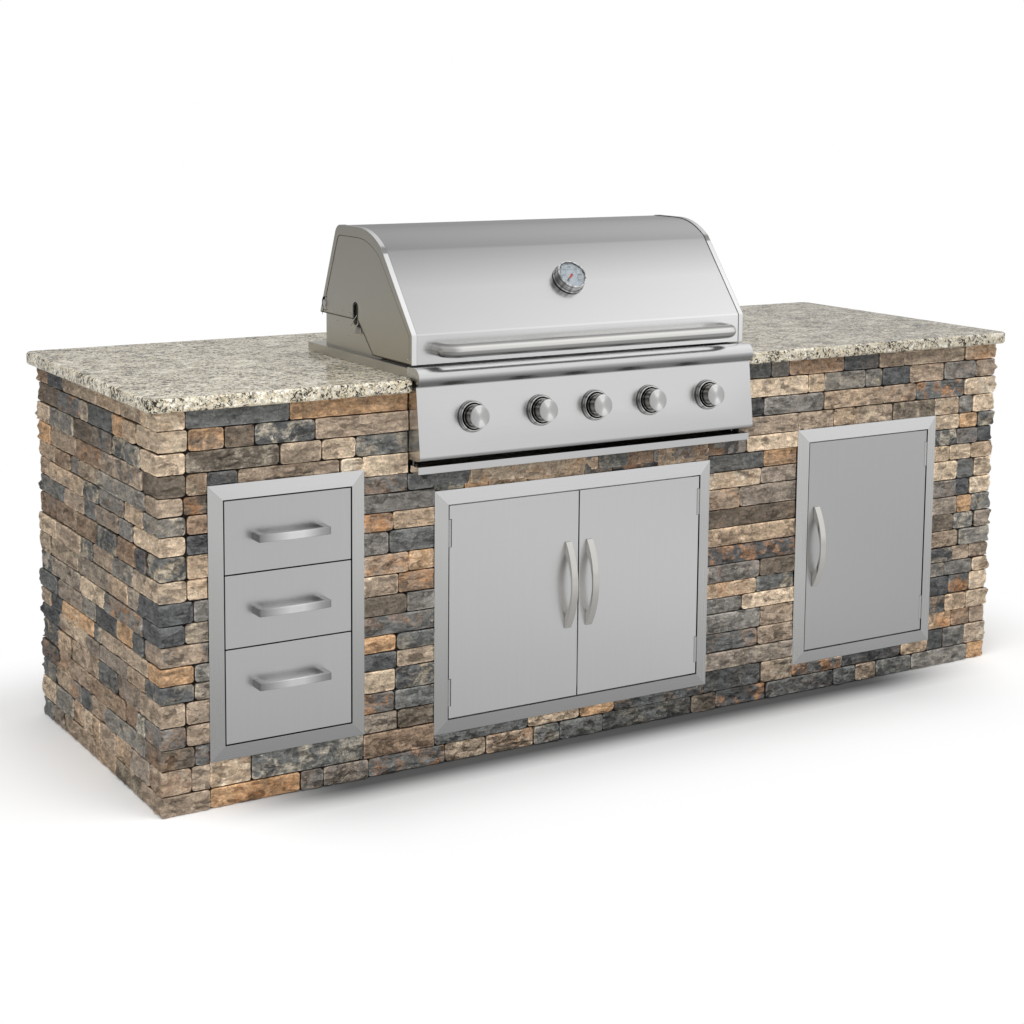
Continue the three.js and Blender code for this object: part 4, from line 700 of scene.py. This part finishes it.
# A profile's points are radius and height, with a painted level of light for the ring that they draw,
# kept as the 'depth' value.
def turned_piece(name, profile, place, body, slot, made):
    bm = bmesh.new()
    verts = [bm.verts.new((point[0], 0, point[1])) for point in profile]
    edges = [bm.edges.new(pair) for pair in zip(verts, verts[1:])]
    whole = verts + edges
    bmesh.ops.spin(bm, geom=whole, cent=(0, 0, 0), axis=(0, 0, 1), angle=math.tau, steps=64, use_merge=True)
    bmesh.ops.remove_doubles(bm, verts=bm.verts, dist=1e-6)
    bmesh.ops.recalc_face_normals(bm, faces=bm.faces)
    levels = {(round(point[0], 5), round(point[1], 5)): point[2] for point in profile if len(point) > 2}
    for label in ("ring", "fan", "depth"):
        bm.verts.layers.float.new(label)
    ring, fan, depth = (bm.verts.layers.float[label] for label in ("ring", "fan", "depth"))
    for vert in bm.verts:
        radius = math.hypot(vert.co.x, vert.co.y)
        turned_by = math.atan2(vert.co.y, vert.co.x) - math.radians(98)
        vert[ring] = radius
        vert[fan] = math.cos(2 * turned_by) if radius > 0.0005 else 0.3
        vert[depth] = levels.get((round(radius, 5), round(vert.co.z, 5)), 1)
    bmesh.ops.transform(bm, matrix=place, verts=bm.verts)
    return show(name, bm, body, slot, made, smooth_angle=30)


def vertex_value(tree, label):
    return add("Attribute", {}, tree, attribute_name=label)["Fac"]


# A turned surface has fine rings, and painted rays of light and dark round the centre stand in for
# what its brushing mirrors. The profile's painted levels of light are multiplied in too.
def ringed(name, tint, roughness, fineness, strength, rays):
    made, tree, shader = material(name, 1.0)
    ring, fan, depth = (vertex_value(tree, label) for label in ("ring", "fan", "depth"))
    fine_rings = {"W": calc("MULTIPLY", ring, fineness), "Scale": 1.0, "Detail": 4.0, "Roughness": 0.8}
    lines = add("TexNoise", fine_rings, noise_dimensions="1D")[0]
    shade = calc("MULTIPLY", rescale(lines, 0.3, 0.7, 0.9, 1.1), depth)
    rayed = tinted(ramp(rescale(fan, -1, 1), rays), shade)
    plug(shader, {
        "Base Color": tinted(colour(tint), rayed),
        "Roughness": rescale(lines, 0, 1, roughness * 0.8, roughness * 1.3),
        "Normal": bump(lines, strength, 0.00004),
    })
    return made


chrome = speckled("chrome", 40.0, 3.0, ("cfd0d2", "dcdcdc"), (0.04, 0.1), metallic=1.0)
black_ring = speckled("black_ring", 900.0, 2.0, ("121212", "1f1f20"), (0.42, 0.42), (0.3, 0.0001))
# Painted light on the knobs and bezels: the rays put a painted highlight across each knob's face and painted
# bands of light and dark round its side and the bezel's chrome, and the side is a darker copy of the face's
# steel.
knob_face = ringed("knob_face", "f6f6f5", 0.24, 2600.0, 0.5, [
    (0, 0.58), (0.4, 0.6), (0.78, 0.72), (0.93, 1), (1, 1)])
knob_side = ringed("knob_side", "d8d4ce", 0.14, 900.0, 0.1, [
    (0, 0.5), (0.12, 0.16), (0.26, 0.75), (0.4, 0.2), (0.55, 0.12), (0.7, 0.8), (0.85, 0.3), (1, 0.9)])
turned_chrome = ringed("turned_chrome", "ecebea", 0.08, 1500.0, 0.1, [
    (0, 0.42), (0.2, 0.85), (0.35, 1), (0.5, 0.55), (0.62, 0.9), (0.8, 1), (1, 0.8)])
# A third number at a point is its painted level of light: bright and dark rings on the bezel's chrome, and
# painted shade in the step low on the knob.
bezel_profile = [
    (0.0288, 0.0003, 0.1), (0.0370, 0.0003, 0.2), (0.0371, 0.0034, 0.3), (0.0364, 0.0062, 1.0),
    (0.0354, 0.0086, 0.95), (0.0344, 0.0101, 0.35), (0.0332, 0.0108, 1.0), (0.0317, 0.0109, 1.0),
    (0.0306, 0.0101, 0.5), (0.0296, 0.0082, 0.2), (0.0288, 0.0050, 0.1), (0.0288, 0.0003, 0.1),
]
seal_profile = [
    (0.0072, 0.0003), (0.0286, 0.0003), (0.0286, 0.0020), (0.0276, 0.0026), (0.0072, 0.0026),
    (0.0072, 0.0003),
]
knob_profile = [
    (0.0043, 0.0070), (0.0272, 0.0070), (0.0278, 0.0076), (0.0278, 0.0124), (0.0274, 0.0130),
    (0.0262, 0.0131, 0.25), (0.0260, 0.0140, 0.3), (0.0261, 0.0190), (0.0262, 0.0330), (0.0260, 0.0352),
    (0.0252, 0.0371), (0.0236, 0.0379, 1.0), (0.0215, 0.0380, 0.94), (0.0120, 0.0380), (0.0000, 0.0380),
    (0.0000, 0.0260), (0.0043, 0.0260), (0.0043, 0.0070),
]
# The panel's outward normal leans back. The heights in the profiles start at the panel's face, and
# the middle of a bezel's box lies 5.65 mm in front of that.
normal = Vector((0, -math.cos(knob_tilt), math.sin(knob_tilt)))
turn = Matrix((x_way, normal.cross(x_way), normal)).transposed().to_4x4()
bezel_middle = 0.00565
for number in range(1, 6):
    low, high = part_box(f"knob_bezel_{number}")
    place = Matrix.Translation((low + high) / 2 - normal * bezel_middle) @ turn
    bezel = turned_piece(f"bezel_{number}", bezel_profile, place, "island", "polished_steel", turned_chrome)
    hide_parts(f"knob_bezel_{number}")
    turned_piece(f"knob_seal_{number}", seal_profile, place, "island", "polished_steel", black_ring)
    knob = turned_piece(f"knob_{number}", knob_profile, place, f"knob_{number}", "brushed_steel", knob_face)
    knob.data.materials.append(knob_side)
    for face in knob.data.polygons:
        if abs(face.normal.dot(normal)) < 0.6:
            face.material_index = 1
    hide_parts(f"control_knob_{number}")


# The hood: a single skin of stainless steel wrapped round two end caps, with a rolled rim at each
# end, painted brighter than the skin, and a hem folded over each cap. It is browned by smoke inside,
# and turns on a steel rod.
hood_low, hood_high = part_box("hood")
hood_centre, hood_half = (hood_low.x + hood_high.x) / 2, (hood_high.x - hood_low.x) / 2
# Painted light and shade on the skin: it is lighter towards its right end, darker in the step beside
# each rim and over the upper slope and crown, with a painted highlight along the fold above the front band.
hood_steel = brushed("hood_steel", "fafafa", along_x, 0.24, 0.06, bands=[
    ("Z", hood_low.z, hood_high.z, [
        (0, 0.94), (0.222, 0.94), (0.23, 1), (0.24, 0.8), (0.55, 0.72), (0.83, 0.45), (0.845, 0.37),
        (0.94, 0.41), (1, 0.46)]),
    ("X", hood_low.x, hood_high.x, [
        (0, 0.7), (0.0125, 0.7), (0.0165, 0.87), (0.2, 0.93), (0.5, 1), (0.8, 1.08), (0.9835, 1.13),
        (0.9875, 0.9), (1, 0.9)]),
])
# The rolled rims have a painted highlight, brighter than the skin, and a dark notch of painted shade high up
# towards the crown.
rim_steel = brushed("hood_rim_steel", "ffffff", along_x, 0.2, 0.05, bands=[
    ("Z", hood_low.z, hood_high.z, [
        (0, 0.95), (0.5, 0.95), (0.7, 0.86), (0.815, 0.8), (0.825, 0.3), (0.86, 0.26), (0.88, 0.62),
        (1, 0.7)]),
])
cap_steel = brushed("cap_steel", "cdcac0", along_z, 0.34, 0.08)
# Dark steel: soot inside the hood, and painted shadow in the dark strips along the hems and the caps' edges.
soot_and_shadow_steel = brushed("soot_and_shadow_steel", "6b645a", along_x, 0.42, 0.1)
hinge = Vector(next(j for j in frame["joints"] if j["name"] == "hood_hinge")["pos_m"])
hood = dressed("hood", "hood_body", "hood_steel", hood_steel, cap_steel, edge=0.0008, segments=2, angle=30)
hood.data.materials.append(soot_and_shadow_steel)
hood.data.materials.append(rim_steel)
# A face that looks towards a line inside the hood, or an end face that looks inwards, is sooty.
inside_y, inside_z = hinge.y - 0.16, hood_low.z + 0.08
rim_width, cap_sheet = 0.0125, 0.004
for face in hood.data.polygons:
    from_end = hood_half - abs(face.center.x - hood_centre)
    from_inside = Vector((0, face.center.y - inside_y, face.center.z - inside_z))
    if abs(face.normal.x) > 0.5:
        inward = face.normal.x * (face.center.x - hood_centre) < 0
    else:
        inward = face.normal.dot(from_inside) < 0
    if inward:
        face.material_index = 2
    elif from_end < cap_sheet and abs(face.normal.x) > 0.9:
        face.material_index = 1
    elif from_end < rim_width and abs(face.normal.x) < 0.5:
        face.material_index = 3
    else:
        face.material_index = 0


def thicken(piece, thickness, offset=-1):
    sheet = piece.modifiers.new("sheet", "SOLIDIFY")
    sheet.thickness, sheet.offset = thickness, offset


# The skin is folded 11 mm over each cap. The hem stands 0.9 mm proud of it, with a dark strip of
# painted shadow along its inner side, and where there is no hem a dark strip of painted shadow
# shows the cap's edge.
slot_y, slot_z = 0.273, 1.045
line_width, hem_rest, seam_width = 0.0026, 0.0084, 0.0018
for side, edge_x, label in ((-1, hood_low.x, "left"), (1, hood_high.x, "right")):
    bm = clean_solid("hood")
    mark = bm.faces.layers.int.new("mark")
    for face in bm.faces:
        at_end = abs(face.calc_center_median().x - edge_x) < 0.0005
        face[mark] = 1 if face.normal.x * side > 0.99 and at_end else 0

    def marked(value):
        return [f for f in bm.faces if f[mark] == value]

    def ring_inside(thickness, value):
        ring = bmesh.ops.inset_region(bm, faces=marked(1), thickness=thickness, use_even_offset=True)["faces"]
        for face in ring:
            face[mark] = value

    ring_inside(line_width, 2)
    ring_inside(hem_rest, 3)
    # The hem's inner line turns sharply at the front fold, and the hem is twice as wide over the crown.
    inner_line = list(dict.fromkeys(v for f in marked(1) for v in f.verts))
    at_fold = [v for v in inner_line if v.co.y - wall_low.y < 0.06 and 0.98 < v.co.z < 1.05]
    bmesh.ops.remove_doubles(bm, verts=at_fold, dist=0.008)
    for vert in {v for f in marked(1) for v in f.verts}:
        rise = min(max((vert.co.z - 1.10) / 0.09, 0), 1)
        vert.co.z -= 0.013 * rise * rise * (3 - 2 * rise)
    ring_inside(seam_width, 4)
    strips = {"hem": [], "shadow_seam": [], "edge": []}
    bm.faces.index_update()
    for value in (2, 3, 4):
        for face in marked(value):
            spot = face.calc_center_median() - wall_low
            at_slot = abs(spot.y - slot_y) < 0.030 and spot.z < 1.10
            at_front = spot.y < 0.03 and spot.z > hood_low.z + 0.012
            if (spot.z > 1.06 or at_front or spot.y > 0.43) and not at_slot:
                strips["shadow_seam" if value == 4 else "hem"].append(face.index)
            elif value == 2 and not (at_slot and spot.z > 1.022):
                strips["edge"].append(face.index)
    # The dark strips along the hem's inner side and along the cap's edge are painted shadow.
    for strip, finish, thickness in (
        ("hem", cap_steel, 0.0009), ("shadow_seam", soot_and_shadow_steel, 0.0004), ("edge", soot_and_shadow_steel, 0.0004),
    ):
        kept = bm.copy()
        bmesh.ops.delete(kept, geom=[f for f in kept.faces if f.index not in strips[strip]], context="FACES")
        strip_piece = show(f"hood_{strip}_{label}", kept, "hood_body", "hood_steel", finish)
        thicken(strip_piece, thickness, 1)
        if strip == "hem":
            bevel = strip_piece.modifiers.new("edges", "BEVEL")
            bevel.width, bevel.segments, bevel.limit_method = 0.0004, 2, "ANGLE"
    bm.free()

    # The spit's slot has a pressed rim, and a black flap closes it from inside, as a cover would; the
    # flap also stands as painted shade for the hood's dark inside. Both are circles whose lower half is
    # drawn down by the slot's length.
    slot_centre, slot_drop = Vector((edge_x, wall_low.y + slot_y, slot_z)), 0.030
    for piece_name, inner, outer, shift_in, finish in (
        ("slot_rim", 0.0106, 0.0142, 0, cap_steel), ("slot_flap", 0.0, 0.0165, 0.0055, black_ring),
    ):
        bm = bmesh.new()
        ring = bmesh.ops.create_circle(bm, cap_ends=inner == 0, segments=32, radius=inner or outer)["verts"]
        if inner:
            bmesh.ops.extrude_edge_only(bm, edges=bm.edges[:])
        for vert in bm.verts:
            radius = outer if inner and vert not in ring else inner or outer
            turned_out = vert.co.normalized() * radius
            drop = slot_drop if turned_out.y < -1e-6 else 0
            vert.co = slot_centre + Vector((-side * shift_in, turned_out.x, turned_out.y - drop))
        bmesh.ops.recalc_face_normals(bm, faces=bm.faces)
        thicken(show(f"{piece_name}_{label}", bm, "hood_body", "hood_steel", finish), 0.0012)
finish_node("hood_hinge_rod", chrome)


# Screws and rivets: a row along each cap's lower edge and one low at its front, and three on each
# side plate of the firebox. Under each slot the plate has a flared lip for a spit, and a bent wire
# hook hangs in the slot.
def extend(bm, faces, vec):
    grown = bmesh.ops.extrude_face_region(bm, geom=faces)
    verts = [v for v in grown["geom"] if isinstance(v, bmesh.types.BMVert)]
    bmesh.ops.translate(bm, vec=vec, verts=verts)
    return [f for f in grown["geom"] if isinstance(f, bmesh.types.BMFace)]


# Flat round heads, each given by its depth from the island's front, its height and its radius.
def screws(name, x, side, heads, body):
    bm = bmesh.new()
    for y, z, radius in heads:
        head = bmesh.ops.create_uvsphere(bm, u_segments=16, v_segments=8, radius=radius)["verts"]
        bmesh.ops.scale(bm, vec=(0.38, 1, 1), verts=head)
        bmesh.ops.translate(bm, vec=(x + side * 0.0002, wall_low.y + y, z), verts=head)
    show(name, bm, body, "polished_steel", chrome, smooth_angle=60)


cap_heads = ((0.3986, 1.0265, 0.0028), (0.345, 1.0325, 0.002), (0.304, 1.029, 0.0042), (0.010, 0.957, 0.0036))
plate_heads = ((0.393, 1.001, 0.0024), (0.235, 0.966, 0.0040), (0.330, 0.972, 0.0022))
hook_bends = ((0.005, 0.001, -0.010), (0.006, 0.004, -0.012), (0.006, 0.006, -0.012), (0.002, 0.005, -0.010))
lip_top, lip_length, hook_top, plate_half = 1.004, 0.022, 1.046, 0.455
for side, cap_x, label in ((-1, hood_low.x, "left"), (1, hood_high.x, "right")):
    plate_x = hinge.x + side * plate_half
    screws(f"cap_screws_{label}", cap_x, side, cap_heads, "hood_body")
    screws(f"plate_screws_{label}", plate_x, side, plate_heads, "island")
    bm = bmesh.new()
    for vert in bmesh.ops.create_grid(bm, x_segments=8, y_segments=4, size=1)["verts"]:
        over, down = vert.co.x, (1 - vert.co.y) / 2
        lift = 0.0008 + 0.010 * down ** 1.6 * (1 - 0.5 * over * over)
        lip_y = wall_low.y + slot_y + over * (0.007 + 0.011 * down)
        vert.co = (plate_x + side * lift, lip_y, lip_top - lip_length * down)
    thicken(show(f"spit_rest_{label}", bm, "island", "firebox_steel", cap_steel, smooth_angle=60), 0.0012)
    bm = bmesh.new()
    wire = bmesh.ops.create_circle(bm, cap_ends=True, segments=12, radius=0.0018)["verts"]
    bmesh.ops.translate(bm, vec=(plate_x - side * 0.003, wall_low.y + slot_y - 0.001, hook_top), verts=wire)
    end = bm.faces[:]
    for out, back, fall in hook_bends:
        end = extend(bm, end, (side * out, back, fall))
    bmesh.ops.recalc_face_normals(bm, faces=bm.faces)
    show(f"spit_hook_{label}", bm, "island", "polished_steel", chrome, smooth_angle=50)


# The hood's handle: a 32 mm tube of polished stainless steel, bent back at both ends and screwed
# to the hood's front band from inside.
def sweep(bm, faces, cent):
    spun = bmesh.ops.spin(bm, geom=faces, cent=cent, axis=(0, 0, 1), angle=-math.pi / 2, steps=10)
    return [f for f in spun["geom_last"] if isinstance(f, bmesh.types.BMFace)]


handle_low, handle_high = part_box("hood_handle")
tube_radius, elbow = 0.016, 0.030
tube_z = (handle_low.z + handle_high.z) / 2
left_x, right_x = handle_low.x + tube_radius, handle_high.x - tube_radius
elbow_y = handle_low.y + tube_radius + elbow
bm = bmesh.new()
start = bmesh.ops.create_circle(bm, cap_ends=True, segments=32, radius=tube_radius)["verts"]
bmesh.ops.rotate(bm, cent=(0, 0, 0), matrix=Matrix.Rotation(math.pi / 2, 3, "X"), verts=start)
bmesh.ops.translate(bm, vec=(right_x, handle_high.y, tube_z), verts=start)
end_face = extend(bm, bm.faces[:], (0, elbow_y - handle_high.y, 0))
end_face = sweep(bm, end_face, (right_x - elbow, elbow_y, tube_z))
end_face = extend(bm, end_face, (left_x + elbow - right_x + elbow, 0, 0))
end_face = sweep(bm, end_face, (left_x + elbow, elbow_y, tube_z))
extend(bm, end_face, (0, handle_high.y - elbow_y, 0))
bmesh.ops.remove_doubles(bm, verts=bm.verts, dist=1e-6)
walled_in = [f for f in bm.faces if len(f.verts) > 4 and all(len(e.link_faces) > 2 for e in f.edges)]
bmesh.ops.delete(bm, geom=walled_in, context="FACES_ONLY")
bmesh.ops.recalc_face_normals(bm, faces=bm.faces)
# The tube's bands are painted reflection: a bright band above its middle, and dark bands low on it and just
# under its top.
handle_steel = brushed("hood_handle_steel", "f0efec", along_x, 0.19, 0.06, bands=[
    ("Z", tube_z - tube_radius, tube_z + tube_radius, [
        (0, 0.25), (0.1, 0.4), (0.2, 0.22), (0.3, 0.5), (0.46, 0.48), (0.54, 0.95), (0.8, 1), (0.88, 0.5),
        (0.96, 0.3), (1, 0.5)])])
tube = show("hood_handle_tube", bm, "hood_body", "polished_steel", handle_steel, smooth_angle=40)
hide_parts("hood_handle")


# The thermometer: a polished case screwed through the hood, with a printed dial under a flat glass
# and a painted steel pointer, read from 100 to 700 degrees.
slope = math.atan2(186, 150)
slope_normal = Vector((0, -math.sin(slope), math.cos(slope)))
slope_up = slope_normal.cross(x_way)
dial_centre = Vector(next(j for j in frame["joints"] if j["name"] == "needle_pivot")["pos_m"])
turn = Matrix((x_way, slope_up, slope_normal)).transposed().to_4x4()
place = Matrix.Translation(dial_centre + slope_normal * 0.0015) @ turn
# Painted reflection on the case: its rays and its profile's levels of light make bright and dark bands round
# its rim and side.
case_chrome = ringed("case_chrome", "ffffff", 0.05, 1500.0, 0.1, [
    (0, 0.35), (0.12, 1), (0.25, 0.5), (0.38, 1), (0.5, 0.75), (0.64, 1), (0.78, 0.4), (0.9, 1), (1, 0.7)])
case = turned_piece("thermometer_body", [
    (0.0, -0.042), (0.003, -0.042), (0.003, 0.0003), (0.0408, 0.0003, 0.3), (0.0410, 0.0010, 0.4),
    (0.0410, 0.0034, 1.0), (0.0402, 0.0046, 0.5), (0.0384, 0.0052, 0.2), (0.0380, 0.0062, 0.35),
    (0.0380, 0.0090, 0.9), (0.0380, 0.0110, 0.5), (0.0380, 0.0150, 1.0), (0.0380, 0.0195, 0.4),
    (0.0377, 0.0224, 1.0), (0.0366, 0.0238), (0.0352, 0.0240), (0.0345, 0.0234, 0.9), (0.0340, 0.0222, 0.3),
    (0.0340, 0.0180, 0.3), (0.0, 0.0180, 0.3),
], place, "hood_body", "polished_steel", case_chrome)
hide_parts("thermometer_case")

# The print is a hair above the card: a ring of 49 ticks from 100 to 700, a finer ring inside the
# numbers, and a thin line round the rim. The scale runs over 270 degrees.
dial_print = speckled("dial_print", 120.0, 2.0, ("b3bfc8", "ccd6dd"), (0.5, 0.5))
ink = speckled("dial_ink", 300.0, 2.0, ("2a2d31", "3a3e43"), (0.5, 0.5))
scale_start, scale_turn = 225, 270
card_height, print_height, line_radius, number_radius = 0.01805, 0.0182, 0.0324, 0.0222
bm = bmesh.new()
bmesh.ops.create_circle(bm, cap_ends=True, segments=64, radius=0.0339)
bmesh.ops.translate(bm, vec=(0, 0, card_height), verts=bm.verts)
for ticks, every, radius, long_tick, short_tick in (
    (49, 8, 0.0298, (0.0048, 0.0010), (0.0030, 0.0006)),
    (55, 6, 0.0162, (0.0026, 0.0005), (0.0016, 0.0005)),
):
    for step in range(ticks):
        angle = math.radians(scale_start - step * scale_turn / (ticks - 1))
        tick = bmesh.ops.create_grid(bm, x_segments=1, y_segments=1, size=0.5)["verts"]
        bmesh.ops.scale(bm, vec=(*(short_tick if step % every else long_tick), 1), verts=tick)
        bmesh.ops.translate(bm, vec=(radius, 0, print_height), verts=tick)
        bmesh.ops.rotate(bm, cent=(0, 0, 0), matrix=Matrix.Rotation(angle, 3, "Z"), verts=tick)
inner = bmesh.ops.create_circle(bm, cap_ends=False, segments=64, radius=line_radius)["verts"]
grown = bmesh.ops.extrude_edge_only(bm, edges=list({e for v in inner for e in v.link_edges}))
outer = [v for v in grown["geom"] if isinstance(v, bmesh.types.BMVert)]
bmesh.ops.scale(bm, vec=(1.016, 1.016, 1), verts=outer)
bmesh.ops.translate(bm, vec=(0, 0, print_height), verts=inner + outer)
for face in bm.faces:
    face.material_index = 0 if face.calc_area() > 0.001 else 1
    if face.normal.z < 0:
        face.normal_flip()
for number in range(7):
    words = bpy.data.curves.new("scale_number", "FONT")
    words.body = str((number + 1) * 100)
    words.size = 0.0068
    words.align_x, words.align_y = "CENTER", "CENTER"
    lettering = bpy.data.objects.new("scale_number", words)
    flat_text = bpy.data.meshes.new_from_object(lettering)
    angle = math.radians(scale_start - number * scale_turn / 6)
    spot = (number_radius * math.cos(angle), number_radius * math.sin(angle), print_height)
    flat_text.transform(Matrix.Translation(spot))
    before = len(bm.faces)
    bm.from_mesh(flat_text)
    bm.faces.ensure_lookup_table()
    for face in bm.faces[before:]:
        face.material_index = 1
    bpy.data.objects.remove(lettering)
    bpy.data.meshes.remove(flat_text)
bmesh.ops.transform(bm, matrix=place, verts=bm.verts)
show("thermometer_dial", bm, "hood_body", "polished_steel", dial_print, ink)

lens_glass, tree, shader = material("lens_glass")
plug(shader, {
    "Roughness": rescale(cloud(here(tree), 60.0), 0, 1, 0, 0.04),
    "Transmission Weight": 1.0,
    "IOR": 1.3,
})
turned_piece("thermometer_lens", [
    (0.0, 0.0214), (0.0339, 0.0214), (0.0339, 0.0224), (0.0320, 0.0227), (0.0, 0.0228), (0.0, 0.0214),
], place, "hood_body", "polished_steel", lens_glass)

# The pointer is cut from thin sheet: broad and red by its hub, dark and narrow towards its tip.
pointer_paint, tree, shader = material("pointer_paint")
chipped = calc("MULTIPLY_ADD", cloud(here(tree), 500.0), 0.12, vertex_value(tree, "along"))
plug(shader, {
    "Base Color": ramp(chipped, [
        (0, "8e2f20"), (0.2, "c24a33"), (0.56, "cc5a40"), (0.66, "3b3d42"), (1, "33363c")]),
    "Roughness": 0.4,
})
offsets = [v.co - dial_centre for v in frame["nodes"]["thermometer_needle"].data.vertices]
rest_tip = max(offsets, key=lambda offset: offset.length)
needle_turn = math.atan2(rest_tip.dot(slope_up), rest_tip.dot(x_way))
needle_height, blade_length, hub_rise = 0.0198, 0.0245, 0.0006
bm = bmesh.new()
along = bm.verts.layers.float.new("along")
for vert in bmesh.ops.create_grid(bm, x_segments=8, y_segments=1, size=1)["verts"]:
    share = (vert.co.x + 1) / 2
    half_width = 0.0027 * (1 - share) ** 0.8 + 0.0005
    vert[along] = share
    vert.co = (blade_length * share, half_width if vert.co.y > 0 else -half_width, needle_height)
hub = bmesh.ops.create_circle(bm, cap_ends=True, segments=24, radius=0.0030)["verts"]
bmesh.ops.translate(bm, vec=(0, 0, needle_height + hub_rise), verts=hub)
bmesh.ops.rotate(bm, cent=(0, 0, 0), matrix=Matrix.Rotation(needle_turn, 3, "Z"), verts=bm.verts)
bmesh.ops.recalc_face_normals(bm, faces=bm.faces)
for face in bm.faces:
    if face.normal.z < 0:
        face.normal_flip()
bmesh.ops.transform(bm, matrix=place, verts=bm.verts)
pointer = show("thermometer_pointer", bm, "needle", "polished_steel", pointer_paint)
thicken(pointer, 0.0005)
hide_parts("thermometer_needle")


# The drawer unit: a mitred border on a welded box, with three drawers whose folded fronts carry
# flat bowed pulls. All of it is brushed stainless steel, the borders along their own length.
# Painted shade: the drawer and door fronts darken towards their tops, and the end door is a darker copy of
# the doors' steel.
drawer_steel = brushed("drawer_steel", "e8e8e8", along_z, 0.3, 0.07, bands=[
    ("Z", 0.106, 0.716, [(0, 1), (0.3, 0.95), (1, 0.81)])])
door_steel = brushed("door_steel", "f0f0f0", along_z, 0.3, 0.07, bands=[
    ("Z", 0.072, 0.648, [(0, 1), (0.25, 0.94), (1, 0.86)])])
end_door_steel = brushed("end_door_steel", "cdcdcd", along_z, 0.3, 0.07)
# Painted light and shade on the borders: the flat ones darken towards the bottom, and the upright ones are a
# darker copy of the same steel.
border_flat = brushed("border_steel_flat", "ffffff", along_x, 0.26, 0.07, bands=[
    ("Z", 0.07, 0.72, [(0, 0.57), (0.15, 0.62), (0.5, 0.75), (0.85, 0.82), (1, 0.84)])])
border_tall = brushed("border_steel_tall", "d6d6d5", along_z, 0.26, 0.07)
# The pulls carry a painted highlight in their middle and painted shade towards both ends.
pull_low, pull_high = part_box("drawer_handle_1")
pull_steel = brushed("pull_steel", "ffffff", along_x, 0.18, 0.08, bands=[
    ("X", pull_low.x, pull_high.x, [(0, 0.32), (0.1, 0.5), (0.42, 1), (0.6, 1), (0.86, 0.5), (1, 0.36)])])


def bordered(node):
    low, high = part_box(node)
    piece = dressed(node, "island", "brushed_steel", border_flat, border_tall, edge=0.0005)
    for face in piece.data.polygons:
        middle = face.center
        to_side = min(middle.x - low.x, high.x - middle.x)
        to_end = min(middle.z - low.z, high.z - middle.z)
        face.material_index = 1 if to_side < to_end else 0


bordered("drawer_housing")
for number, body in ((1, "drawer_top"), (2, "drawer_middle"), (3, "drawer_bottom")):
    dressed(f"drawer_{number}", body, "brushed_steel", drawer_steel, edge=0.0008, segments=3)
    dressed(f"drawer_handle_{number}", body, "handle_steel", pull_steel, edge=0.0012, segments=3)


# The three doors: folded sheet fronts that hang in mitred frames on welded knuckles, each with a
# bowed bar handle that tapers into its feet.
bow_steel = brushed("bow_steel", "dddbd6", along_z, 0.18, 0.08)
bordered("double_door_frame")
bordered("single_door_frame")
for node, handle, body, finish in (
    ("door_left", "door_handle_left", "left_door", door_steel),
    ("door_right", "door_handle_right", "right_door", door_steel),
    ("single_door", "single_door_handle", "right_end_door", end_door_steel),
):
    dressed(node, body, "brushed_steel", finish, edge=0.0008, segments=3)
    dressed(handle, body, "handle_steel", bow_steel, edge=0.0024, segments=4, angle=45)
